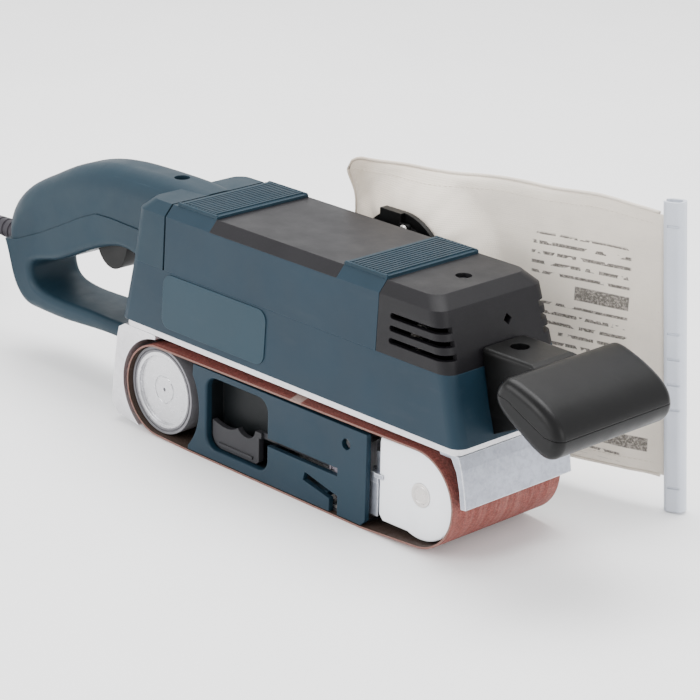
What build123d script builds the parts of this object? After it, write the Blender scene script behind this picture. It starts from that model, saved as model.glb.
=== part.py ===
from build123d import *
import os
from math import acos, atan2, cos, degrees, hypot, pi, radians, sin, sqrt, tan

# Handheld belt sander for a 75 x 533 mm abrasive belt. Millimetres, +Z up.
# The origin is the centre of the sanding face, on the surface the sander rests on. +X runs to the front knob, +Y to the operator's left.

# ---- driving dimensions ----
BELT_W = 75.0          # sanding belt width
BELT_T = 1.0           # belt thickness
HALF_BASE = 94.4       # half the distance between the roller centres
R_ROLL = 23.7          # drive drum and front roller radius
R_BELT = 24.1          # inner radius of the belt where it turns
Z_REAR = 25.8          # drive drum axis height
Z_FRONT = 27.8         # front roller axis height
PLATEN_X = (-72.0, 61.0)
Z_BASE_TOP = 60.4      # top of the cast frame, where the housing starts
Z_SEAM = 93.8          # parting plane of lower and upper housing
Z_SHOULDER = 122.2     # where the top chamfer starts
Z_TOP = 127.7
WALL = 2.8             # housing wall
MOTOR_Y = -4.0
MOTOR_Z = 92.0
CROSS_X = -84.0        # cross shaft axis
TEETH_PINION = 8
TEETH_GEAR = 24
BEVEL_MODULE = 1.4
R_SMALL_PULLEY = 6.7
R_LARGE_PULLEY = 20.1
OUTLET = (0.0, 100.0)  # x, z of the dust outlet
R_OUTLET = 21.0
LEVER_PIVOT = (37.5, -31.0)
CORD_D = 8.0

os.makedirs("parts", exist_ok=True)
made = []


def save(part, label):
    part.label = label
    export_step(part, f"parts/{label}.step")
    made.append(part)


def try_fillet(builder, edges, *radii):
    for r in radii:
        try:
            fillet(edges, radius=r)
            return r
        except Exception:
            continue
    return 0


# ---- housing envelope: rounded rectangles lofted straight between heights ----
SECTIONS = [  # z, rear x, front x, half width
    (Z_BASE_TOP, -123.2, 123.6, 39.6),
    (Z_SEAM, -116.8, 113.3, 37.6),
    (Z_SHOULDER, -112.9, 104.6, 36.2),
    (Z_TOP, -107.4, 97.9, 31.2),
]


def section_at(z):
    for a, b in zip(SECTIONS, SECTIONS[1:]):
        if z <= b[0]:
            t = (z - a[0]) / (b[0] - a[0])
            return tuple(p + (q - p) * t for p, q in zip(a, b))
    return SECTIONS[-1]


def envelope(z_levels, inset, radius):
    with BuildPart() as e:
        for z, zz in z_levels:
            _, x0, x1, hw = section_at(zz)
            with BuildSketch(Plane.XY.offset(z)):
                with Locations(((x0 + x1) / 2, 0)):
                    RectangleRounded(x1 - x0 - 2 * inset, 2 * (hw - inset), radius)
        loft(ruled=True)
    return e.part


lower_outer = envelope([(Z_BASE_TOP, Z_BASE_TOP), (Z_SEAM, Z_SEAM)], 0, 7)
lower_inner = envelope([(Z_BASE_TOP - 1, Z_BASE_TOP), (Z_SEAM + 1, Z_SEAM)], WALL, 4.5)
upper_outer = envelope([(Z_SEAM, Z_SEAM), (Z_SHOULDER, Z_SHOULDER), (Z_TOP, Z_TOP)], 0, 7)
upper_inner = envelope([(Z_SEAM - 1, Z_SEAM), (Z_SHOULDER - 1.2, Z_SHOULDER), (Z_TOP - WALL, Z_TOP)], WALL, 4.5)
panel_inner = envelope([(Z_SEAM - 1, Z_SEAM), (Z_SHOULDER - 0.6, Z_SHOULDER), (Z_TOP - 1.4, Z_TOP)], 1.4, 5.5)

X_REAR_CUT = (-90.1, -88.9)   # open joint between rear cover and motor housing
X_CAP = 65.6
X_BAND_REAR = (-85.4, -55.4)
X_BAND_FRONT = (36.6, 65.4)

# ---- belt path helper: outline round circles, walked with tangents ----


def wrap(circles):
    """Points for a closed outline round circles given anticlockwise in the XZ plane as (x, z, r)."""
    n = len(circles)
    tangents = []
    for i in range(n):
        (x1, z1, r1), (x2, z2, r2) = circles[i], circles[(i + 1) % n]
        dx, dz = x2 - x1, z2 - z1
        a = atan2(dz, dx) - acos((r1 - r2) / hypot(dx, dz))
        tangents.append(((x1 + r1 * cos(a), z1 + r1 * sin(a)), (x2 + r2 * cos(a), z2 + r2 * sin(a)), a))
    return tangents


def wrap_face(circles):
    """Adds the outline's lines and arcs to the current BuildLine, as local (x, z)."""
    t = wrap(circles)
    n = len(circles)
    for i in range(n):
        p, q, a = t[i]
        Line(p, q)
        nxt = t[(i + 1) % n]
        cx, cz, r = circles[(i + 1) % n]
        a2 = nxt[2]
        while a2 < a:
            a2 += 2 * pi
        m = (a + a2) / 2
        ThreePointArc(q, (cx + r * cos(m), cz + r * sin(m)), nxt[0])


# Plane.XZ has its normal along -Y, so an extrusion by +d goes towards -Y from the plane.
def xz(y):
    return Plane.XZ.offset(-y)


def loop_circles(extra):
    return [
        (-HALF_BASE, Z_REAR, R_BELT + extra),
        (PLATEN_X[0] + 3, BELT_T + 3, 3 + extra),
        (PLATEN_X[1] - 3, BELT_T + 3, 3 + extra),
        (HALF_BASE, Z_FRONT, R_BELT + extra),
    ]


# ================= sanding belt =================
with BuildPart() as sanding_belt:
    with BuildSketch(xz(BELT_W / 2)):
        with BuildLine():
            wrap_face(loop_circles(BELT_T))
        make_face()
        with BuildLine():
            wrap_face(loop_circles(0))
        make_face(mode=Mode.SUBTRACT)
    extrude(amount=BELT_W)
save(sanding_belt.part, "sanding_belt")

# ================= cast frame =================
BOSS_R = 14.0
EARS = ((-121.1, 16.1), (-66.4, 20.9), (-84.0, 107.8))
with BuildPart() as base_frame:
    # top plate under the housing
    with BuildSketch(Plane.XY.offset(56.5)):
        with Locations((0.2, 2.75)):
            RectangleRounded(241, 80.5, 4)
    extrude(amount=Z_BASE_TOP - 56.5)
    # left web beside the belt, and the back plate of the belt drive
    with BuildSketch(xz(43.0)):
        with BuildLine():
            Polyline((-126, 58), (-126, 12), (-117, 3), (56, 3), (56, 58), (-66, 58), (-74, 112), (-94, 112), (-126, 58))
        make_face()
    extrude(amount=3.0)
    # beam inside the belt loop
    with Locations((-6, 10.5, 26)):
        Box(112, 59, 36)
    with Locations((-6, 8, 26)):
        Box(104, 48, 28, mode=Mode.SUBTRACT)
    # bearing boss that reaches into the drive drum
    with BuildSketch(xz(43.0)):
        with Locations((-HALF_BASE, Z_REAR)):
            Circle(BOSS_R)
    extrude(amount=34.0)
    with BuildSketch(xz(43.0)):
        with Locations((-HALF_BASE, Z_REAR)):
            Circle(8.0)
    extrude(amount=34.0, mode=Mode.SUBTRACT)
    for y in (44.0, 16.0):
        with BuildSketch(xz(y)):
            with Locations((-HALF_BASE, Z_REAR)):
                Circle(11.0)
        extrude(amount=8.0, mode=Mode.SUBTRACT)
    # cross shaft passage in the back plate
    with BuildSketch(xz(44.0)):
        with Locations((CROSS_X, MOTOR_Z)):
            Circle(9.0)
    extrude(amount=8.0, mode=Mode.SUBTRACT)
    # feet that carry the platen under the beam
    with Locations((-48, 8, 6.15), (0, 8, 6.15), (38, 8, 6.15)):
        Box(16, 44, 3.7)
    # stem guide of the front fork: square hole through the beam's front wall, and a post with the spring seat
    with Locations((48, 6, 28)):
        Box(10, 12.2, 12.2, mode=Mode.SUBTRACT)
    with Locations((10, 6, 26)):
        Box(6, 16, 28)
    # clearance for the tracking screw and lever hub
    with BuildSketch(xz(-17.0)):
        with Locations((47.3, 40.3)):
            Circle(3.1)
    extrude(amount=9.0, mode=Mode.SUBTRACT)
    for x, z in EARS:
        with BuildSketch(xz(44.0)) as hole:
            with Locations((x, z)):
                Circle(1.6)
        extrude(hole.sketch, amount=8.0, mode=Mode.SUBTRACT)
    # dust passage through the top plate
    with Locations((-108, 28, 58)):
        Box(12, 12, 8, mode=Mode.SUBTRACT)
save(base_frame.part, "base_frame")

# rear guard, cast shroud behind and over the drum
with BuildPart() as rear_guard:
    with BuildSketch(xz(38.5)):
        with BuildLine():
            l1 = Polyline((-96.4, 56.3), (-121.0, 56.3), (-125.8, 53.5), (-127.5, 47.5), (-131.2, 21.6), (-132.2, 10.2), (-127.4, 4.6), (-109.2, 2.2), (-109.2, 8), (-96.4, 30), (-96.4, 56.3))
        make_face()
        with Locations((-HALF_BASE, Z_REAR)):
            Circle(28.2, mode=Mode.SUBTRACT)
    extrude(amount=76.0)
    # dust channel up the inside
    with Locations((-122.6, 28, 44)):
        Box(4, 12, 40, mode=Mode.SUBTRACT)
    try_fillet(rear_guard, rear_guard.edges().filter_by(Axis.Y).group_by(Axis.X)[0], 2.5, 1.5)
save(rear_guard.part, "rear_guard")

# front guard, cast plate curving down before the front roller
with BuildPart() as front_guard:
    with BuildSketch(xz(37.0)):
        with BuildLine():
            Polyline((109, 56.4), (121.0, 56.4), (123.2, 50), (125.3, 41), (126.8, 31.4), (123.6, 31.0), (122.2, 40.2), (120.0, 48.5), (117.0, 53.6), (109, 53.6), (109, 56.4))
        make_face()
    extrude(amount=73.5)
    try_fillet(front_guard, front_guard.edges().filter_by(Axis.X).group_by(Axis.Z)[0], 3, 2)
save(front_guard.part, "front_guard")

# ================= platen =================
with BuildPart() as platen:
    with BuildSketch(xz(37.0)):
        with BuildLine():
            Polyline((-69.5, 3.0), (-70.9, 5.0), (-69.0, 6.2), (-66.5, 4.3), (55.5, 4.3), (57.8, 6.6), (60.2, 6.0), (58.4, 3.0), (-69.5, 3.0))
        make_face()
    extrude(amount=71.2)
save(platen.part, "platen")

with BuildPart() as platen_pad:
    with Locations((-5.5, 1.4, 2.05)):
        Box(126.0, 71.2, 1.9)
save(platen_pad.part, "platen_pad")

# ================= side cover (right side, inside the belt loop) =================
COVER_Y = -37.4
with BuildPart() as side_cover:
    with BuildSketch(xz(COVER_Y + 3.0)):
        with BuildLine():
            Polyline((-66.0, 49.4), (61.4, 49.4), (61.4, 4.6), (58.6, 1.5), (-70.2, 1.5), (-66.0, 49.4))
        make_face()
        with Locations((-HALF_BASE, Z_REAR)):
            Circle(33.0, mode=Mode.SUBTRACT)
        # finger recess, lever slot, screw hole, slanted slot
        with Locations(((-55.9 - 9.6) / 2, 26.3)):
            RectangleRounded(46.3, 39.0, 7, mode=Mode.SUBTRACT)
        with Locations(((-12 + 41.6) / 2, 23.9)):
            Rectangle(53.6, 4.3, mode=Mode.SUBTRACT)
        with Locations((47.3, 40.3)):
            Circle(2.9, mode=Mode.SUBTRACT)
        with BuildLine():
            Polyline((17.2, 12.2), (18.6, 16.8), (42.0, 11.4), (42.0, 1.0), (36.2, 1.0), (36.2, 8.2), (17.2, 12.2))
        make_face(mode=Mode.SUBTRACT)
    extrude(amount=3.0)
    # rims that stiffen the cover, and the wall round the finger recess
    with BuildSketch(xz(COVER_Y + 12.0)):
        with Locations((-6, 47.6)):
            Rectangle(100, 3.6)
        with Locations((-16, 8.4)):
            Rectangle(96, 2.4)
        with Locations(((-55.9 - 9.6) / 2, 26.3)):
            RectangleRounded(50.7, 43.0, 8)
        with Locations(((-55.9 - 9.6) / 2, 26.3)):
            RectangleRounded(46.3, 39.0, 7, mode=Mode.SUBTRACT)
        with Locations((-9, 23.9)):
            Rectangle(8, 4.9, mode=Mode.SUBTRACT)
    extrude(amount=9.0)
    # recess floor
    with BuildSketch(xz(COVER_Y + 13.6)):
        with Locations(((-55.9 - 9.6) / 2, 26.3)):
            RectangleRounded(50.7, 43.0, 8)
    extrude(amount=1.6)
    # lever pivot lugs above and below the hub
    with Locations((LEVER_PIVOT[0], -30.4, 31.2), (LEVER_PIVOT[0], -30.4, 15.4)):
        Box(9, 8.0, 3.0)
    with Locations((LEVER_PIVOT[0], LEVER_PIVOT[1], 24)):
        Cylinder(1.7, 40, mode=Mode.SUBTRACT)
    # soft lip of the finger recess
    lip = side_cover.faces().sort_by(Axis.Y)[0].edges().filter_by(lambda e: -57 < e.center().X < -8.5 and 6 < e.center().Z < 46.5)
    try_fillet(side_cover, lip, 1.2, 0.8)
save(side_cover.part, "side_cover")

# ================= tension lever =================
with BuildPart() as tension_lever:
    with BuildSketch(xz(-31.2)):
        with BuildLine():
            l1 = Polyline((-46, 7.6), (-20.4, 7.6), (-18.6, 9.4), (-18.6, 22.2))
            l2 = Line((-18.6, 22.2), (34, 22.2))
            l3 = Line((34, 22.2), (34, 25.3))
            l4 = Line((34, 25.3), (-21.5, 25.3))
            l5 = Spline((-21.5, 25.3), (-24.5, 20.6), (-29.5, 19.8), (-34.8, 22.9))
            l6 = Spline((-34.8, 22.9), (-41, 20.2), (-48, 20.4), (-54.0, 22.0))
            l7 = Line((-54.0, 22.0), (-54.0, 16.0))
            l8 = ThreePointArc((-54.0, 16.0), (-51.8, 9.8), (-46, 7.6))
        make_face()
    extrude(amount=3.2)
    # the arm is thinner than the handle
    with Locations((8.0, -33.6, 23.7)):
        Box(50.0, 2.0, 3.6, mode=Mode.SUBTRACT)
    with Locations((LEVER_PIVOT[0], LEVER_PIVOT[1], 23.7)):
        Cylinder(3.0, 9.6)
    with Locations((LEVER_PIVOT[0] - 3.5, -32.4, 23.75)):
        Box(6, 2.2, 3.1)
    with Locations((LEVER_PIVOT[0], LEVER_PIVOT[1], 23.7)):
        Cylinder(1.55, 20, mode=Mode.SUBTRACT)
    # finger ridge on the handle
    with Locations((-36, -34.75, 10.2)):
        Box(26, 0.9, 1.6)
    try_fillet(tension_lever, tension_lever.faces().sort_by(Axis.Y)[1].edges().filter_by(Axis.Z), 0.4)
save(tension_lever.part, "tension_lever")

with BuildPart() as lever_pivot_pin:
    with Locations((LEVER_PIVOT[0], LEVER_PIVOT[1], 23.3)):
        Cylinder(1.5, 19.6)

# tracking screw: head behind the access hole, shank in the beam wall
with BuildPart() as tracking_screw:
    with BuildSketch(xz(-24.0)):
        with Locations((47.3, 40.3)):
            Circle(4.4)
    extrude(amount=5.0)
    with BuildSketch(xz(-17.2)):
        with Locations((47.3, 40.3)):
            Circle(3.0)
    extrude(amount=6.8)
    with BuildSketch(xz(-27.4)):
        with Locations((47.3, 40.3)):
            RegularPolygon(2.2, 6)
    extrude(amount=1.6, mode=Mode.SUBTRACT)
save(tracking_screw.part, "tracking_screw")

# ================= drive train =================
Y_DRUM = (-34.4, 35.4)


def cyl_y(x, z, r, y0, y1, r_in=0.0, mode=Mode.ADD):
    """Adds a cylinder or ring along Y between y0 and y1 to the current part."""
    with BuildSketch(xz(y1)) as ring:
        with Locations((x, z)):
            Circle(r)
            if r_in:
                Circle(r_in, mode=Mode.SUBTRACT)
    extrude(ring.sketch, amount=y1 - y0, mode=mode)


def cut_y(x, z, r, y0, y1, r_in=0.0):
    cyl_y(x, z, r, y0, y1, r_in, Mode.SUBTRACT)


with BuildPart() as drive_roller_sleeve:
    cyl_y(-HALF_BASE, Z_REAR, R_ROLL, Y_DRUM[0], Y_DRUM[1], 20.6)
    # tread grooves across the rubber
    cut_y(-HALF_BASE, Z_REAR, 22.4, Y_DRUM[0] - 1, Y_DRUM[0] + 0.8, 21.6)
save(drive_roller_sleeve.part, "drive_roller_sleeve")

with BuildPart() as drive_roller_core:
    cyl_y(-HALF_BASE, Z_REAR, 20.6, Y_DRUM[0], Y_DRUM[1] - 1)
    cut_y(-HALF_BASE, Z_REAR, 18.7, Y_DRUM[0] - 1, Y_DRUM[0] + 1.6)          # recessed face
    cut_y(-HALF_BASE, Z_REAR, 7.6, Y_DRUM[0] - 1, Y_DRUM[0] + 2.0, 6.8)      # faint turned ring
    cut_y(-HALF_BASE, Z_REAR, 1.0, Y_DRUM[0] - 1, Y_DRUM[0] + 4.0)           # centre mark
    cut_y(-HALF_BASE, Z_REAR, 17.6, -25.0, 36.0, 9.0)                        # bell round the bearing boss
    cut_y(-HALF_BASE, Z_REAR, 17.6, -4.0, 36.0)
    cut_y(-HALF_BASE, Z_REAR, 5.0, -30.0, 0.0)                               # shaft seat
save(drive_roller_core.part, "drive_roller_core")

with BuildPart() as drive_shaft:
    cyl_y(-HALF_BASE, Z_REAR, 5.0, -30.0, 54.0)
    with BuildSketch(xz(57.0)):
        with Locations((-HALF_BASE, Z_REAR)):
            RegularPolygon(4.0, 6)
    extrude(amount=3.0)
save(drive_shaft.part, "drive_shaft")

with BuildPart() as drive_bearings:
    for y0 in (9.0, 37.0):
        cyl_y(-HALF_BASE, Z_REAR, 10.97, y0, y0 + 7.0, 8.6)
        cyl_y(-HALF_BASE, Z_REAR, 7.4, y0, y0 + 7.0, 5.05)
        cyl_y(-HALF_BASE, Z_REAR, 8.7, y0 + 0.8, y0 + 6.2, 7.3)

Y_PULLEY = (45.0, 53.0)


def ribbed_pulley(x, z, r, bore, hub_r):
    cyl_y(x, z, r, Y_PULLEY[0], Y_PULLEY[1], bore)
    for k in range(4):
        y = Y_PULLEY[0] + 1.3 + 1.6 * k
        cut_y(x, z, r + 1, y, y + 0.6, r - 0.8)
    cyl_y(x, z, r + 1.2, Y_PULLEY[0] - 0.9, Y_PULLEY[0], bore)


with BuildPart() as large_pulley:
    ribbed_pulley(-HALF_BASE, Z_REAR, R_LARGE_PULLEY, 5.0, 8)
    cut_y(-HALF_BASE, Z_REAR, 16.5, 49.5, 54, 8.5)
    for k in range(5):
        a = 2 * pi * k / 5
        cut_y(-HALF_BASE + 12.5 * cos(a), Z_REAR + 12.5 * sin(a), 2.6, 40, 54)
save(large_pulley.part, "large_pulley")

with BuildPart() as small_pulley:
    ribbed_pulley(CROSS_X, MOTOR_Z, R_SMALL_PULLEY, 4.0, 4)
save(small_pulley.part, "small_pulley")

with BuildPart() as drive_belt:
    with BuildSketch(xz(52.4)):
        with BuildLine():
            wrap_face([(-HALF_BASE, Z_REAR, R_LARGE_PULLEY + 1.7), (CROSS_X, MOTOR_Z, R_SMALL_PULLEY + 1.7)])
        make_face()
        with BuildLine():
            wrap_face([(-HALF_BASE, Z_REAR, R_LARGE_PULLEY + 0.35), (CROSS_X, MOTOR_Z, R_SMALL_PULLEY + 0.35)])
        make_face(mode=Mode.SUBTRACT)
    extrude(amount=6.9)
save(drive_belt.part, "drive_belt")

# belt cover on the left side, held by three screws
with BuildPart() as belt_cover:
    with BuildSketch(xz(57.9)):
        with BuildLine():
            wrap_face([(-HALF_BASE, Z_REAR, R_LARGE_PULLEY + 4.4), (CROSS_X, MOTOR_Z, 12.0)])
        make_face()
    extrude(amount=14.8)
    with BuildSketch(xz(55.9)):
        with BuildLine():
            wrap_face([(-HALF_BASE, Z_REAR, R_LARGE_PULLEY + 2.4), (CROSS_X, MOTOR_Z, 10.0)])
        make_face()
    extrude(amount=14.0, mode=Mode.SUBTRACT)
    cut_y(-HALF_BASE, Z_REAR, 4.6, 50, 60)
    for x, z in EARS:
        cyl_y(x, z, 4.4, 43.1, 45.6, 1.8)
    with BuildSketch(xz(55.9)):
        with BuildLine():
            wrap_face([(-HALF_BASE, Z_REAR, R_LARGE_PULLEY + 2.4), (CROSS_X, MOTOR_Z, 10.0)])
        make_face()
    extrude(amount=12.8, mode=Mode.SUBTRACT)
    rim = belt_cover.faces().sort_by(Axis.Y)[-1].edges()
    try_fillet(belt_cover, belt_cover.edges().group_by(Axis.Y)[-1], 1.6, 1.0)
save(belt_cover.part, "belt_cover")

# cross shaft, bearings and bevel gears
APEX_Y = MOTOR_Y


def bevel_wheel(r_pitch, other, teeth, bore, width, phase, hub):
    """A straight bevel wheel in its own frame: the apex at the origin, the axis along +Z, the pitch circle at height `other`."""
    cone = sqrt(r_pitch ** 2 + other ** 2)
    k = (cone - width) / cone
    ca, sa = other / cone, r_pitch / cone
    add, ded = 0.42 * BEVEL_MODULE, 0.95 * BEVEL_MODULE
    half = pi * r_pitch / teeth / 2
    with BuildPart() as w:
        with BuildSketch(Plane.XZ) as blank:
            with BuildLine():
                Polyline(
                    (bore, other * k + ded * sa),
                    (r_pitch * k - ded * ca, other * k + ded * sa),
                    (r_pitch - ded * ca, other + ded * sa),
                    (r_pitch - ded * ca, other + hub),
                    (bore, other + hub),
                    (bore, other * k + ded * sa),
                )
            make_face()
        revolve(blank.sketch, axis=Axis.Z)
        # teeth: each one lofted from its large end to its small end, towards the apex
        for i in range(teeth):
            ang = radians(phase + 360.0 * i / teeth)
            ends = []
            for s in (1.0, k):
                o = Vector(s * r_pitch * cos(ang), s * r_pitch * sin(ang), s * other)
                outward = Vector(ca * cos(ang), ca * sin(ang), -sa)
                along = Vector(-sin(ang), cos(ang), 0)
                with BuildSketch(Plane(origin=o, x_dir=along, z_dir=along.cross(outward))) as end:
                    Polygon((-half * s * 1.1, -ded - 0.3), (half * s * 1.1, -ded - 0.3), (half * s * 0.4, add * s), (-half * s * 0.4, add * s), align=None)
                ends.append(end.sketch.faces()[0])
            loft(ends, ruled=True)
    return w.part


R_PINION = TEETH_PINION * BEVEL_MODULE / 2
R_GEAR = TEETH_GEAR * BEVEL_MODULE / 2
apex = Vector(CROSS_X, APEX_Y, MOTOR_Z)
pinion_plane = Plane(origin=apex, x_dir=(0, 1, 0), z_dir=(1, 0, 0))
gear_plane = Plane(origin=apex, x_dir=(1, 0, 0), z_dir=(0, 1, 0))
pinion = pinion_plane.location * bevel_wheel(R_PINION, R_GEAR, TEETH_PINION, 2.0, 5.0, 180.0 / TEETH_PINION + 180.0, 3.0)
gear = gear_plane.location * bevel_wheel(R_GEAR, R_PINION, TEETH_GEAR, 4.0, 5.0, 0.0, 3.0)
save(pinion, "bevel_pinion")
save(gear, "bevel_gear")

with BuildPart() as cross_shaft:
    cyl_y(CROSS_X, MOTOR_Z, 4.0, -16.8, 53.0)
save(cross_shaft.part, "cross_shaft")

with BuildPart() as cross_bearings:
    for y0 in (-17.0, 27.2):
        cyl_y(CROSS_X, MOTOR_Z, 8.97, y0, y0 + 6.0, 7.2)
        cyl_y(CROSS_X, MOTOR_Z, 6.0, y0, y0 + 6.0, 4.05)
        cyl_y(CROSS_X, MOTOR_Z, 7.3, y0 + 0.8, y0 + 5.2, 5.9)

# gear housing: open box round the bevel gears, stands on the frame
with BuildPart() as gear_housing:
    with Locations((-82.0, 5.7, 86.0)):
        Box(48, 55.4, 51.2)
    with Locations((-82.2, 5.6, MOTOR_Z)):
        Box(40.6, 43.2, 37, mode=Mode.SUBTRACT)
    with Locations((-82.0, 28.5, 67.0)):
        Box(60, 13.5, 14.0, mode=Mode.SUBTRACT)
    with Locations((-82.0, 2, 66.0)):
        Box(40, 34, 9.0, mode=Mode.SUBTRACT)
    cut_y(CROSS_X, MOTOR_Z, 9.0, -17.0, 60.0)
    with BuildSketch(Plane.YZ.offset(-64)) as bore:
        with Locations((MOTOR_Y, MOTOR_Z)):
            Circle(8.0)
    extrude(bore.sketch, amount=10, mode=Mode.SUBTRACT)
save(gear_housing.part, "gear_housing")

# ================= front roller and its fork =================
with BuildPart() as front_roller:
    cyl_y(HALF_BASE, Z_FRONT, R_ROLL, -27.4, 33.2, 4.05)
    cut_y(HALF_BASE, Z_FRONT, 21.0, -28, -24, 9.5)
    cut_y(HALF_BASE, Z_FRONT, 21.0, 30, 34, 9.5)
    try_fillet(front_roller, front_roller.edges().filter_by(GeomType.CIRCLE).filter_by(lambda e: e.radius > 23.5), 1.0)
save(front_roller.part, "front_roller")

with BuildPart() as front_axle:
    cyl_y(HALF_BASE, Z_FRONT, 4.0, -33.0, 36.6)
    cyl_y(HALF_BASE, Z_FRONT, 6.0, -33.4, -30.4)
    cyl_y(HALF_BASE, Z_FRONT, 4.6, -33.6, -33.2, 3.9)
save(front_axle.part, "front_axle")

with BuildPart() as front_fork:
    for y1, t in ((-28.4, 2.2), (36.6, 2.4)):
        with BuildSketch(xz(y1)) as arm:
            with Locations((HALF_BASE, Z_FRONT)):
                Circle(12.0)
            with Locations(((HALF_BASE + 62) / 2, Z_FRONT)):
                Rectangle(HALF_BASE - 62, 24.0)
            with Locations((HALF_BASE, Z_FRONT)):
                Circle(4.0, mode=Mode.SUBTRACT)
        extrude(arm.sketch, amount=t)
    with Locations((65.2, 3.0, Z_FRONT)):
        Box(6.4, 67.2, 24.0)
    # square stem that slides in the beam, with the spring seat on its end
    with Locations((47.0, 6.0, 28.0)):
        Box(34.0, 12.0, 12.0)
    with Locations((26.0, 6.0, 28.0)):
        Cylinder(4.0, 12.0, rotation=(0, 90, 0))
    # lug that the lever pushes
    with Locations((57.0, -20.9, 23.7)):
        Box(12.0, 3.2, 5.0)
    cut_y(HALF_BASE, Z_FRONT, 6.0, -40, -30.4)
save(front_fork.part, "front_fork")

with BuildPart() as fork_end_cap:
    with BuildSketch(xz(-30.7)):
        with BuildLine():
            c1 = Polyline((66.6, 49.0), (66.0, 46.4), (66.4, 9.0), (69.0, 6.0), (86.0, 6.2))
            c2 = ThreePointArc((86.0, 6.2), (116.9, 29.0), (96.0, 50.4))
            c3 = Line((96.0, 50.4), (66.6, 49.0))
        make_face()
        with Locations((HALF_BASE, Z_FRONT)):
            Circle(6.0, mode=Mode.SUBTRACT)
    extrude(amount=2.3)
    try_fillet(fork_end_cap, fork_end_cap.faces().sort_by(Axis.Y)[0].outer_wire().edges(), 0.9, 0.6)
save(fork_end_cap.part, "fork_end_cap")

with BuildPart() as tension_spring:
    with BuildLine() as coil:
        Helix(pitch=2.3, height=9.2, radius=5.2, center=(13.9, 6.0, 28.0), direction=(1, 0, 0))
    with BuildSketch(Plane(origin=coil.line @ 0, z_dir=coil.line % 0)):
        Circle(0.8)
    sweep()
save(tension_spring.part, "tension_spring")

# hook of the tracking mechanism, fixed to the fork and seen behind the side cover's front edge
with BuildPart() as tracking_plate:
    with Locations((62.1, -31.8, 16.0)):
        Box(7.0, 2.4, 17.6)
    with Locations((63.1, -32.0, 27.2)):
        Box(5.0, 2.8, 5.4)
    with Locations((66.5, -33.575, 28.8)):
        Box(5.8, 1.05, 2.2)
save(tracking_plate.part, "tracking_plate")

with BuildPart() as cover_screws:
    for x, z in EARS:
        cyl_y(x, z, 1.55, 38.5, 46.0)
        cyl_y(x, z, 3.2, 45.65, 47.4)
        with BuildSketch(xz(47.4)) as slot:
            with Locations((x, z)):
                RegularPolygon(1.3, 6)
        extrude(slot.sketch, amount=1.2, mode=Mode.SUBTRACT)

# ================= housing =================
with BuildPart() as lower_housing:
    add(lower_outer)
    add(lower_inner, mode=Mode.SUBTRACT)
    # nameplate recess, outlet hole, dust channel and gear housing passages
    cyl_y(OUTLET[0], OUTLET[1], R_OUTLET + 0.3, 25, 45, mode=Mode.SUBTRACT)
    cyl_y(CROSS_X, MOTOR_Z, 5.2, 30, 45, mode=Mode.SUBTRACT)
    # knob bracket screw bosses inside the front wall
    with Locations((110.2, 8, 80), (110.2, -8, 80)):
        Box(12, 7, 7)
    try_fillet(lower_housing, lower_housing.edges().group_by(Axis.Z)[0].filter_by(Axis.Y), 0.6)
save(lower_housing.part, "lower_housing")


def keep_x(x0, x1):
    with Locations(((x0 + x1) / 2, 0, 110)):
        Box(x1 - x0, 120, 60, mode=Mode.INTERSECT)


# the top panel and its chamfered flanks
with BuildPart() as top_panel:
    add(upper_outer)
    add(panel_inner, mode=Mode.SUBTRACT)
    with Locations((-9.4, 0, 126.0)):
        Box(X_BAND_FRONT[0] - X_BAND_REAR[1] + 0.0, 90, 8.0, mode=Mode.INTERSECT)
save(top_panel.part, "top_panel")

with BuildPart() as upper_housing:
    add(upper_outer)
    add(upper_inner, mode=Mode.SUBTRACT)
    keep_x(X_REAR_CUT[1], X_CAP)
    add(top_panel.part, mode=Mode.SUBTRACT)
    cyl_y(OUTLET[0], OUTLET[1], R_OUTLET + 0.3, 25, 45, mode=Mode.SUBTRACT)
    cyl_y(CROSS_X, MOTOR_Z, 5.2, 30, 45, mode=Mode.SUBTRACT)
save(upper_housing.part, "upper_housing")


def grip_band(x0, x1):
    """Ribbed band across the top: a thin pad with ribs that run across it."""
    n = int((x1 - x0 - 3.0) / 2.3)
    with BuildPart() as band:
        with Locations(((x0 + x1) / 2, 0, Z_TOP + 0.7)):
            Box(x1 - x0, 62.2, 1.4)
        band_top = band.faces().sort_by(Axis.Z)[-1]
        with Locations([((x0 + x1) / 2 + (i - (n - 1) / 2) * 2.3, 0, Z_TOP + 1.75) for i in range(n)]):
            Box(1.35, 59.6, 0.7)
        for y in (-30.4, 30.4):
            with Locations(((x0 + x1) / 2, y, Z_TOP + 1.65)):
                Box(x1 - x0 - 1.0, 1.2, 0.5)
    return band.part


save(grip_band(*X_BAND_REAR), "rear_grip_band")
save(grip_band(*X_BAND_FRONT), "front_grip_band")

with BuildPart() as front_cap:
    add(upper_outer)
    add(upper_inner, mode=Mode.SUBTRACT)
    keep_x(X_CAP + 0.3, 130)
    # vents round both front corners
    for z in (113.4, 107.3, 101.2):
        for s in (-1, 1):
            with Locations(((75.3 + 130) / 2, s * 39.8, z)):
                Box(130 - 75.3, 20.6, 2.9, mode=Mode.SUBTRACT)
        cyl_y(75.3, z, 1.45, 29.5, 45.0, mode=Mode.SUBTRACT)
        cyl_y(75.3, z, 1.45, -45.0, -29.5, mode=Mode.SUBTRACT)
    # inspection hole, a small diamond
    with BuildSketch(Plane.YZ.offset(100)) as diamond:
        with Locations((7, 111)):
            RegularPolygon(2.7, 4)
    extrude(diamond.sketch, amount=20, mode=Mode.SUBTRACT)
    # screw well
    with Locations((84.6, 0.8, 122)):
        Cylinder(6.0, 8.0)
    with Locations((84.6, 0.8, 125)):
        Cylinder(4.0, 8.0, mode=Mode.SUBTRACT)
    with Locations((84.6, 0.8, 119)):
        Cylinder(2.0, 10.0, mode=Mode.SUBTRACT)
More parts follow.
